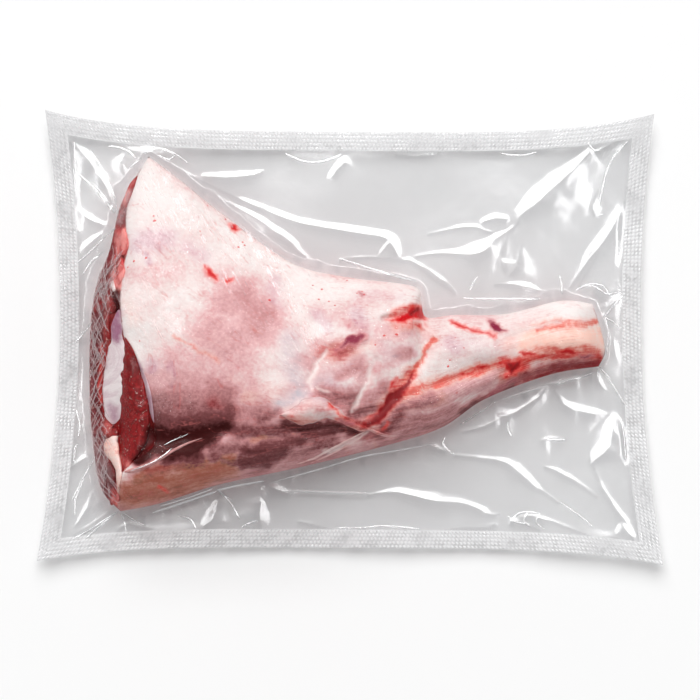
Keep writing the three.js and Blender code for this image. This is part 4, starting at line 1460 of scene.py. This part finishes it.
# %% [markdown]
# ## What the film shows where
# The same film looks different from place to place. Where it clings to wet meat it hardly mirrors, in the
# web it glints in patches, and in the flat margin it is at its glossiest. Juice stains it beside the
# meat. A painted shade dims the backs of folds and the web, over the meat it is crinkled, shown as thin
# painted highlights, and over the cut face it is a little cloudy.
# Each of these is worked out on the grid of the film and painted on its points.

# %% Where the film clings, hangs and is stained
CLING_REACH = 1.2 * MM
JUICE_PASSES = 12
JUICE_PATCHES = (0.7, 9 * MM, 43)
WEB_MARGIN = 0.25 * MM
WEB_PASSES = 3
WEB_SPAN = (0.1, 0.6)


def in_mesh_order(field):
    """A grid of values in the order in which create_grid makes its corners."""
    return field.T.ravel()


def patches(places, level, length, seed):
    """Shares from 0 to 1 in soft patches. A higher level leaves fewer gaps."""
    return np.clip(level + ripple(places, length, seed), 0, 1)


on_meat = 1 - soft_step(upper_film - spread(meat_top), FILM_GAP, FILM_GAP + CLING_REACH)
on_meat = smoothed(np.maximum(on_meat, meat_top > 0), 1)
juice = smoothed(on_meat, JUICE_PASSES) * (1 - on_meat) * patches(film_plan, *JUICE_PATCHES)
hanging = smoothed(soft_step(upper_film - flat_film, 0.0, WEB_MARGIN), WEB_PASSES)
web = soft_step(hanging, *WEB_SPAN) * (1 - on_meat)
print("share of the film that clings:", round(float(on_meat.mean()), 3))

# %% Gloss and paint of the film
WEB_GLOSS = (0.04, 0.3)
WEB_GLINTS = dict(length=7 * MM, seed=44)
WEB_GLINT_SPAN = (0.0, 0.5)
PLEAT_GLINT_SPAN = (0.0, 0.6)
MEAT_GLOSS = (0.03, 0.13)
MEAT_GLINTS = dict(length=8 * MM, seed=45)
MEAT_GLINT_SPAN = (0.1, 0.6)
STEEP_SPAN = (0.8, 2.0)
STEEP_LOSS = 0.9
# The crinkles over the fat are painted highlights: thin white lines of haze.
CRINKLE_HIGHLIGHTS = [(1.0, 22, [(255, 235), (285, 300)]), (0.8, 20, [(160, 190), (200, 245)]),
            (0.8, 20, [(210, 235), (235, 275)]), (0.5, 20, [(140, 300), (170, 335)]),
            (0.6, 12, [(152, 166), (160, 180)]), (0.4, 14, [(300, 320), (310, 350)])]
CLOUDED = [(0.1, 9, [(110, 284), (95, 322)]), (0.18, 9, [(97, 446), (107, 490)]),
           (0.3, 5, [(129, 194), (121, 222)])]
CLOUD_PATCHES = (0.8, 3 * MM, 48)
WEB_PAINTED_SHADE = 0.55
PLEAT_PAINTED_SHADE = 0.7

web_glints = soft_step(ripple(film_plan, **WEB_GLINTS), *WEB_GLINT_SPAN)
web_gloss = WEB_GLOSS[0] + np.ptp(WEB_GLOSS) * web_glints
web_gloss = np.maximum(web_gloss, gathered * soft_step(pleats, *PLEAT_GLINT_SPAN))
meat_glints = soft_step(ripple(film_plan, **MEAT_GLINTS), *MEAT_GLINT_SPAN)
meat_gloss = MEAT_GLOSS[0] + np.ptp(MEAT_GLOSS) * meat_glints
gloss = 1 - (1 - web_gloss) * web - (1 - meat_gloss) * on_meat
slope = np.hypot(*np.gradient(upper_film)) * UPPER_CELLS[1] / BAG_WIDTH
gloss = gloss * (1 - STEEP_LOSS * soft_step(slope, *STEEP_SPAN))
crinkle_highlight_share = washed(film_pixels, CRINKLE_HIGHLIGHTS).reshape(gloss.shape) * on_meat
clouded = washed(film_pixels, CLOUDED).reshape(gloss.shape) * patches(film_plan, *CLOUD_PATCHES)
# Painted shade: the web is dimmed in streaks along its pleats.
web_shade = web * np.clip(WEB_PAINTED_SHADE + PLEAT_PAINTED_SHADE * pleats, 0, 1)
film_paint = {"gloss": gloss, "cling": on_meat, "juice": juice,
              "shade": np.maximum(fold_shade * (1 - on_meat), web_shade),
              "haze": clouded, "crinkle_highlight": crinkle_highlight_share}
for name, field in film_paint.items():
    paint(film_upper, name, in_mesh_order(field))
print("mean gloss of the film:", round(float(gloss.mean()), 2))

# %% [markdown]
# ## Creases
# Thin hard creases are finer than the grid of the film. Each is a thin strip of its own that lies on the
# film and tapers to both ends. Over the cut face the film is gathered into many such creases, which cross
# like a net, so those are drawn by a seeded rule and not one by one. The taut creases along the meat's
# lower edge are whitened with haze, as painted highlights.

# %% Crease lines: half width, then points
RIBS = [
    (1.0, [(96, 186), (105, 198), (116, 213)]), (1.0, [(83, 274), (90, 263), (98, 256), (103, 252)]),
    (1.0, [(108, 146), (118, 147), (128, 151), (136, 158)]),
    (0.8, [(140, 147), (152, 147), (165, 149), (174, 155)]),
    (0.7, [(144, 154), (152, 150), (160, 148), (166, 151)]),
    (0.7, [(158, 155), (164, 158), (170, 159), (175, 155)]), (0.6, [(171, 151), (180, 157), (188, 163)]),
    (0.6, [(129, 168), (135, 163), (142, 158)]), (0.7, [(604, 315), (608, 330), (608, 345), (605, 359)]),
    (0.7, [(605, 316), (613, 306), (623, 295)]), (0.6, [(605, 317), (613, 322), (621, 328)]),
    (0.7, [(599, 367), (605, 373), (611, 379)]), (0.6, [(598, 368), (598, 374), (599, 381)]),
    (0.6, [(600, 367), (612, 384), (625, 405)]), (0.7, [(556, 384), (572, 380), (593, 373)]),
    (0.7, [(579, 288), (593, 286), (607, 294), (617, 292)]),
    (1.0, [(74, 142), (75, 160), (76, 175), (77, 190)]),
    (1.3, [(285, 153), (300, 160), (318, 162), (335, 157), (341, 154)]),
    (1.0, [(500, 153), (510, 155), (525, 155), (537, 152)]),
    (0.8, [(605, 178), (601, 196), (598, 213), (604, 214)]), (0.8, [(588, 143), (594, 150), (600, 150)]),
    (1.2, [(339, 258), (350, 262), (375, 270), (400, 277), (416, 281)]),
    (1.0, [(627, 142), (615, 155), (608, 168), (604, 180)]), (0.8, [(560, 275), (562, 285), (562, 294)]),
    (1.0, [(470, 290), (474, 282), (478, 277)]), (1.2, [(463, 298), (480, 299), (510, 299), (540, 299)]),
    (0.8, [(576, 290), (590, 284), (603, 286), (609, 294)]), (1.2, [(76, 410), (80, 425), (78, 437)]),
    (1.0, [(74, 462), (75, 450), (77, 444)]), (1.2, [(75, 538), (90, 530), (105, 520), (118, 512)]),
    (0.8, [(75, 515), (75, 500), (80, 488), (85, 475)]), (1.0, [(178, 516), (190, 519), (196, 528)]),
    (0.7, [(219, 490), (225, 496), (232, 500)]), (1.0, [(242, 527), (250, 523), (258, 521)]),
    (0.9, [(335, 528), (360, 528), (385, 526), (420, 529)]),
    (0.9, [(76, 172), (92, 186), (104, 200), (115, 214)]), (0.8, [(76, 342), (84, 332), (93, 322)]),
    (0.9, [(84, 540), (98, 528), (110, 518), (120, 510)]), (0.8, [(124, 513), (134, 520), (146, 526)]),
    (0.8, [(121, 513), (124, 522), (126, 532)]), (0.7, [(219, 491), (232, 505), (240, 520)]),
    (0.9, [(510, 521), (518, 514), (528, 512), (540, 514)]), (0.8, [(528, 512), (524, 520), (530, 527)]),
    (0.8, [(540, 514), (536, 522), (544, 529)]), (0.8, [(508, 516), (516, 522), (530, 524)]),
    (0.8, [(90, 150), (103, 170), (114, 196), (118, 216)]),
    (0.8, [(78, 262), (92, 250), (104, 238), (117, 228)]), (0.7, [(72, 500), (82, 480), (96, 456)]),
    (0.7, [(560, 502), (580, 516), (592, 526)]), (0.7, [(495, 402), (480, 412), (460, 425)]),
    (1.0, [(622, 420), (625, 440), (626, 460)]), (1.0, [(508, 422), (508, 430), (512, 436)]),
    (1.0, [(445, 437), (443, 443), (448, 450), (454, 454)]), (1.2, [(545, 437), (550, 440), (565, 440)]),
    (0.8, [(132, 470), (150, 463), (163, 456), (174, 447)]), (0.6, [(166, 444), (176, 439), (190, 433)]),
]
# Painted highlights: these taut creases get a strong white haze.
TAUT_RIBS = [
    (1.1, [(152, 513), (185, 502), (217, 491)]), (1.0, [(217, 490), (240, 485), (264, 481)]),
    (0.6, [(160, 506), (190, 497), (214, 488)]), (1.2, [(289, 490), (330, 492), (360, 493), (370, 494)]),
    (0.8, [(272, 482), (320, 469), (360, 457), (400, 450), (436, 443)]),
    (1.1, [(503, 399), (520, 393), (545, 386)]), (1.0, [(545, 384), (560, 381), (576, 377)]),
]
print("creases:", len(RIBS), "and taut ones:", len(TAUT_RIBS))

# %% Creases on the film
RIB_STEPS = 24
RIB_TURNS = 8
RIB_HEIGHT = 0.45
RIB_SINK = 0.4
RIB_RAGGED = 0.3
RIB_SEED = 3
RIB_VALUES = ("haze", "gloss", "cling")
CLEAR_LOOK = (0.2, 2.5, 0.0)
TAUT_HIGHLIGHT_LOOK = (0.74, 1.2, 0.0)

film_surface = surface_of(film_upper)
rib_bm = bmesh.new()
rib_layers = [rib_bm.verts.layers.float.new(name) for name in RIB_VALUES]


def add_rib(half, points, look):
    """A crease along a line, with the haze, gloss and cling that it is painted with."""
    line = [(*point, half) for point in points]
    made = add_strip(rib_bm, line, RIB_HEIGHT * half * PIXEL, film_surface, RIB_SINK * half * PIXEL,
                     RIB_RAGGED, RIB_SEED, RIB_STEPS, RIB_TURNS)
    for vertex in made:
        for layer, value in zip(rib_layers, look):
            vertex[layer] = value


for half, points in RIBS:
    add_rib(half, points, CLEAR_LOOK)
for half, points in TAUT_RIBS:
    add_rib(half, points, TAUT_HIGHLIGHT_LOOK)
print("points of the creases:", len(rib_bm.verts))

# %% Net of creases over the cut face
NET_SEED = 7
NET_CREASES = 130
NET_POINTS = 6
NET_SPAN = (255, 492)
NET_LENGTHS = (10, 34)
NET_DEPTHS = (0.5, 15)
NET_LEAST_DEPTH = 0.4
NET_SLOPES = (-0.55, -0.35, 0.35, 0.55)
NET_JITTER = 0.5
NET_HALVES = (0.4, 0.8)
NET_LOOK = (0.15, 0.05, 1.0)

draw = np.random.default_rng(NET_SEED)
cut_line = in_pixels(even_line(CUT_SIDE, np.linspace(0, 1, SIDE_STEPS)) * MM)[::-1]
for _ in range(NET_CREASES):
    middle = draw.uniform(*NET_SPAN)
    length = draw.uniform(*NET_LENGTHS)
    down = np.linspace(middle - length / 2, middle + length / 2, NET_POINTS)
    inside = draw.uniform(*NET_DEPTHS) + draw.choice(NET_SLOPES) * (down - middle)
    inside = np.maximum(inside, NET_LEAST_DEPTH)
    across = np.interp(down, cut_line[:, 1], cut_line[:, 0]) + inside
    across = across + draw.normal(0, NET_JITTER, NET_POINTS)
    add_rib(draw.uniform(*NET_HALVES), list(zip(across, down)), NET_LOOK)
finish_piece(rib_bm, "film_creases", film_material)

# %% [markdown]
# ## The seal
# All round the bag the two films are welded between hot bars with a fine raised pattern. The band is a
# ring of grid cells, about five to a dot each way, so every dot is real relief that catches the light; the
# dots are also painted whiter with haze, as a painted highlight. The ring is laid on the same outline as
# the film. It is a little milky, because the weld is full of tiny bubbles, and a painted highlight, a
# white line, marks its inner edge, where the two films part.

# %% Seal band
RING_CELLS = 2700
BAND_CELLS = 26
DOT_ALONG = 1.7 * MM
DOT_ACROSS = 1.7 * MM
DOT_HEIGHT = 0.24 * MM
ROW_SHIFT = 0.5
DOT_LEVEL = 0.7
DOT_UNEVEN = 0.9
DOT_MOST = 1.4
DOT_PATCHES = dict(length=8 * MM, seed=51)
PLAIN_RIM = 0.7 * MM
RIM_HIGHLIGHT_WIDTH = 0.4 * MM
RIM_HIGHLIGHT_PATCHES = (0.6, 14 * MM, 52)


def seal_ring():
    """The band's places on the plan, with the run along its sides and the inset from the bag's edge."""
    turns = np.cumsum([0, BAG_LENGTH, BAG_WIDTH, BAG_LENGTH, BAG_WIDTH])
    run = np.linspace(0, turns[-1], RING_CELLS + 1)[:, None]
    inset = np.linspace(0, SEAL_WIDTH, BAND_CELLS + 1)[None]
    s = inset / BAG_LENGTH + np.interp(run, turns, [0, 1, 1, 0, 0]) * (1 - 2 * inset / BAG_LENGTH)
    t = inset / BAG_WIDTH + np.interp(run, turns, [0, 0, 1, 1, 0]) * (1 - 2 * inset / BAG_WIDTH)
    return bag_plan(s, t), run, inset


ring_plan, run, inset = seal_ring()
dots_around = round(run[-1, 0] / DOT_ALONG)
row = np.floor(inset / DOT_ACROSS)
along = math.pi * (dots_around * run / run[-1, 0] + ROW_SHIFT * row)
dots = np.cos(along) ** 2 * np.sin(math.pi * inset / DOT_ACROSS) ** 2
uneven = DOT_LEVEL + DOT_UNEVEN * ripple(ring_plan, **DOT_PATCHES)
rim_fade = soft_step(np.minimum(inset, SEAL_WIDTH - inset), 0.0, PLAIN_RIM)
dots = dots * np.clip(uneven, 0, DOT_MOST) * rim_fade
rim_highlight = np.exp(-(((SEAL_WIDTH - inset) / RIM_HIGHLIGHT_WIDTH) ** 2)) * patches(ring_plan, *RIM_HIGHLIGHT_PATCHES)
# Painted highlight: the dots and the white line at the inner edge are whitened with haze.
seal_painted_highlight = np.maximum(dots, rim_highlight)
seal_bm = bmesh.new()
haze_layer = seal_bm.verts.layers.float.new("haze")
ring_height = bag_level(ring_plan) - FILM_APART / 2 + DOT_HEIGHT * dots
ring_verts = add_sheet(seal_bm, with_height(ring_plan, ring_height))
for vertex, haze in zip(ring_verts, in_mesh_order(seal_painted_highlight)):
    vertex[haze_layer] = haze
bmesh.ops.remove_doubles(seal_bm, verts=seal_bm.verts, dist=MERGE_DISTANCE)
seal_material = bpy.data.materials.new("seal_band")
seal = finish_piece(seal_bm, "seal_band", seal_material, closed=False)
print("dots around the bag:", dots_around)

# %% [markdown]
# ## The finish of clear film
# Film is a mix of two things: what is seen through it and what it mirrors. The share that it mirrors
# grows at glancing angles, as on glass. A faint tint dims what lies below each sheet, a painted shade dims
# it more behind folds and in the web, and juice stains it beside the meat. A little white haze stands for
# the fine crumple in hard creases and for the bubbles in the weld, and on the taut creases, the seal's
# dots and its inner edge it is a painted highlight. Drawn-out noise gives the thin crinkles that run
# across the fat, painted as white highlights that cast no shadow.

# %% Wrinkles shared by film and seal
WRINKLE_OUTPUTS = ("Cloud", "Glint", "Crinkle", "Height")
BROAD_NOISE = {"Detail": 2.0, "Distortion": 0.6}
CRUMPLE_CELLS = 5.0
CRUMPLE_HEIGHT = 0.12
CRINKLE_TURN = (0.0, 0.0, math.radians(62))
CRINKLE_STRETCH = (0.045, 1.0, 0.0)
CRINKLE_CELLS = 1.3
CRINKLE_WIDTH = 0.05
CRINKLE_SPAN = (0.44, 0.6)


def film_wrinkle():
    """The node group of film's own unevenness: clouds, glints, long crinkles and a height for bump."""
    group = bpy.data.node_groups.new("film wrinkle", "ShaderNodeTree")
    for name in WRINKLE_OUTPUTS:
        group.interface.new_socket(name, in_out="OUTPUT", socket_type="NodeSocketFloat")
    group.interface.new_socket("Cells per metre", in_out="INPUT", socket_type="NodeSocketFloat")
    source = group.nodes.new("NodeGroupInput")
    result = group.nodes.new("NodeGroupOutput")
    place = node(group, "ShaderNodeTexCoord").outputs["Object"]
    scale = source.outputs["Cells per metre"]
    cloud = node(group, "ShaderNodeTexNoise", {"Vector": place, "Scale": scale, **BROAD_NOISE}).outputs["Fac"]
    fine = maths(group, "MULTIPLY", scale, CRUMPLE_CELLS)
    glint = node(group, "ShaderNodeTexNoise", {"Vector": place, "Scale": fine, "Detail": 3.0}).outputs["Fac"]
    height = maths(group, "MULTIPLY_ADD", glint, CRUMPLE_HEIGHT, cloud)
    turned = node(group, "ShaderNodeMapping", {"Vector": place, "Rotation": CRINKLE_TURN}).outputs[0]
    drawn = node(group, "ShaderNodeMapping", {"Vector": turned, "Scale": CRINKLE_STRETCH}).outputs[0]
    wide = maths(group, "MULTIPLY", scale, CRINKLE_CELLS)
    thread = node(group, "ShaderNodeTexNoise", {"Vector": drawn, "Scale": wide, "Detail": 1.0}).outputs["Fac"]
    ridge = maths(group, "ABSOLUTE", maths(group, "SUBTRACT", thread, NOISE_MIDDLE))
    line = ramp(group, ridge, 0.0, CRINKLE_WIDTH, 1.0, 0.0)
    crinkle_highlight = maths(group, "MULTIPLY", line, ramp(group, cloud, *CRINKLE_SPAN))
    for name, value in zip(WRINKLE_OUTPUTS, (cloud, glint, crinkle_highlight, height)):
        group.links.new(value, result.inputs[name])
    return group


wrinkle_group = film_wrinkle()
print("nodes of the wrinkle group:", len(wrinkle_group.nodes))

# %% Film material
WRINKLE_DEPTH = 1.0 * MM
HEAD_ON_GLOSS = 0.085
GLANCE_POWER = 5.0
GLINTS = dict(low=0.64, high=0.69, to_high=0.35)
CLOUD_SPAN = (0.3, 0.7)
CLOUD_LEAST = 0.6
CLOUD_MOST = 1.4
CRINKLE_HIGHLIGHT = 0.85
CRINKLE_HIGHLIGHT_TONE = (1.0, 0.99, 0.99, 1.0)
JUICE_TINT = (0.93, 0.78, 0.76, 1.0)
SHADE_TINT = (0.86, 0.86, 0.866, 1.0)
CLING_SHADING = (0.97, 0.97, 0.97, 1.0)
HAZE_WHITE = (0.9, 0.9, 0.91, 1.0)
HAZE_ON_MEAT = (0.93, 0.74, 0.75, 1.0)


def film_finish(material, clear, shading, cells, crumple, roughness, haze, milk=HAZE_WHITE):
    """Clear film: see-through by a tint, mirroring by the angle, whitened by a painted haze."""
    material.use_nodes = True
    tree = material.node_tree
    tree.nodes.clear()
    output = tree.nodes.new("ShaderNodeOutputMaterial")
    wrinkle = node(tree, "ShaderNodeGroup", node_tree=wrinkle_group)
    wrinkle.inputs["Cells per metre"].default_value = cells
    uneven = {"Height": wrinkle.outputs["Height"], "Strength": crumple, "Distance": WRINKLE_DEPTH}
    bump = node(tree, "ShaderNodeBump", uneven).outputs[0]
    facing = node(tree, "ShaderNodeLayerWeight", {"Blend": 0.5, "Normal": bump}).outputs["Facing"]
    glance = maths(tree, "POWER", facing, GLANCE_POWER)
    mirror = maths(tree, "MULTIPLY_ADD", glance, 1 - HEAD_ON_GLOSS, HEAD_ON_GLOSS)
    glint = ramp(tree, wrinkle.outputs["Glint"], **GLINTS)
    wet = maths(tree, "MULTIPLY_ADD", painted(tree, "cling"), glint, painted(tree, "gloss"))
    mirror = maths(tree, "MULTIPLY", mirror, wet, clamp=True)
    lost = blend(tree, painted(tree, "cling"), shading, CLING_SHADING)
    tint = blend(tree, painted(tree, "juice"), clear, JUICE_TINT)
    # Painted shade: behind folds and in the web the film looks darker.
    tint = blend(tree, painted(tree, "shade"), tint, SHADE_TINT)
    shadow_ray = node(tree, "ShaderNodeLightPath").outputs["Is Shadow Ray"]
    tint = blend(tree, shadow_ray, tint, lost)
    through = node(tree, "ShaderNodeBsdfTransparent", {"Color": tint}).outputs[0]
    gloss = node(tree, "ShaderNodeBsdfGlossy", {"Roughness": roughness, "Normal": bump}).outputs[0]
    film = node(tree, "ShaderNodeMixShader", {0: mirror, 1: through, 2: gloss}).outputs[0]
    cloud = ramp(tree, wrinkle.outputs["Cloud"], *CLOUD_SPAN, CLOUD_LEAST * haze, CLOUD_MOST * haze)
    veil = maths(tree, "MULTIPLY_ADD", cloud, painted(tree, "gloss"), painted(tree, "haze"), clamp=True)
    crinkle_highlight = maths(tree, "MULTIPLY", wrinkle.outputs["Crinkle"], painted(tree, "crinkle_highlight"))
    # Painted highlight: the crinkles are white haze that shadow rays pass by.
    crinkle_highlight = maths(tree, "MULTIPLY", crinkle_highlight, CRINKLE_HIGHLIGHT)
    crinkle_highlight = maths(tree, "MULTIPLY", crinkle_highlight, maths(tree, "SUBTRACT", 1.0, shadow_ray))
    veil = maths(tree, "ADD", veil, crinkle_highlight, clamp=True)
    milky = blend(tree, painted(tree, "haze"), milk, HAZE_WHITE)
    milky = blend(tree, painted(tree, "cling"), milky, HAZE_ON_MEAT)
    milky = blend(tree, crinkle_highlight, milky, CRINKLE_HIGHLIGHT_TONE)
    white = node(tree, "ShaderNodeBsdfDiffuse", {"Color": milky}).outputs[0]
    hazy = node(tree, "ShaderNodeMixShader", {0: veil, 1: film, 2: white}).outputs[0]
    tree.links.new(hazy, output.inputs["Surface"])


print("film seen head-on mirrors a share of", HEAD_ON_GLOSS)

# %% Finishes of the two films and the seal
UPPER_FINISH = dict(clear=(0.984, 0.985, 0.987, 1), shading=(0.84, 0.84, 0.842, 1), cells=220.0,
                    crumple=0.14, roughness=0.24, haze=0.008)
LOWER_FINISH = dict(clear=(0.98, 0.981, 0.984, 1), shading=(0.86, 0.86, 0.862, 1), cells=160.0,
                    crumple=0.1, roughness=0.24, haze=0.008)
SEAL_FINISH = dict(clear=(0.93, 0.931, 0.936, 1), shading=(0.6, 0.6, 0.602, 1), cells=300.0,
                   crumple=0.12, roughness=0.16, haze=0.6, milk=(0.74, 0.74, 0.75, 1.0))
LOWER_GLOSS = 0.8
SEAL_GLOSS = 1.0

film_finish(film_material, **UPPER_FINISH)
film_finish(lower_material, **LOWER_FINISH)
film_finish(seal_material, **SEAL_FINISH)
paint(film_lower, "gloss", LOWER_GLOSS)
paint(seal, "gloss", SEAL_GLOSS)
print("nodes of the film's finish:", len(film_material.node_tree.nodes))
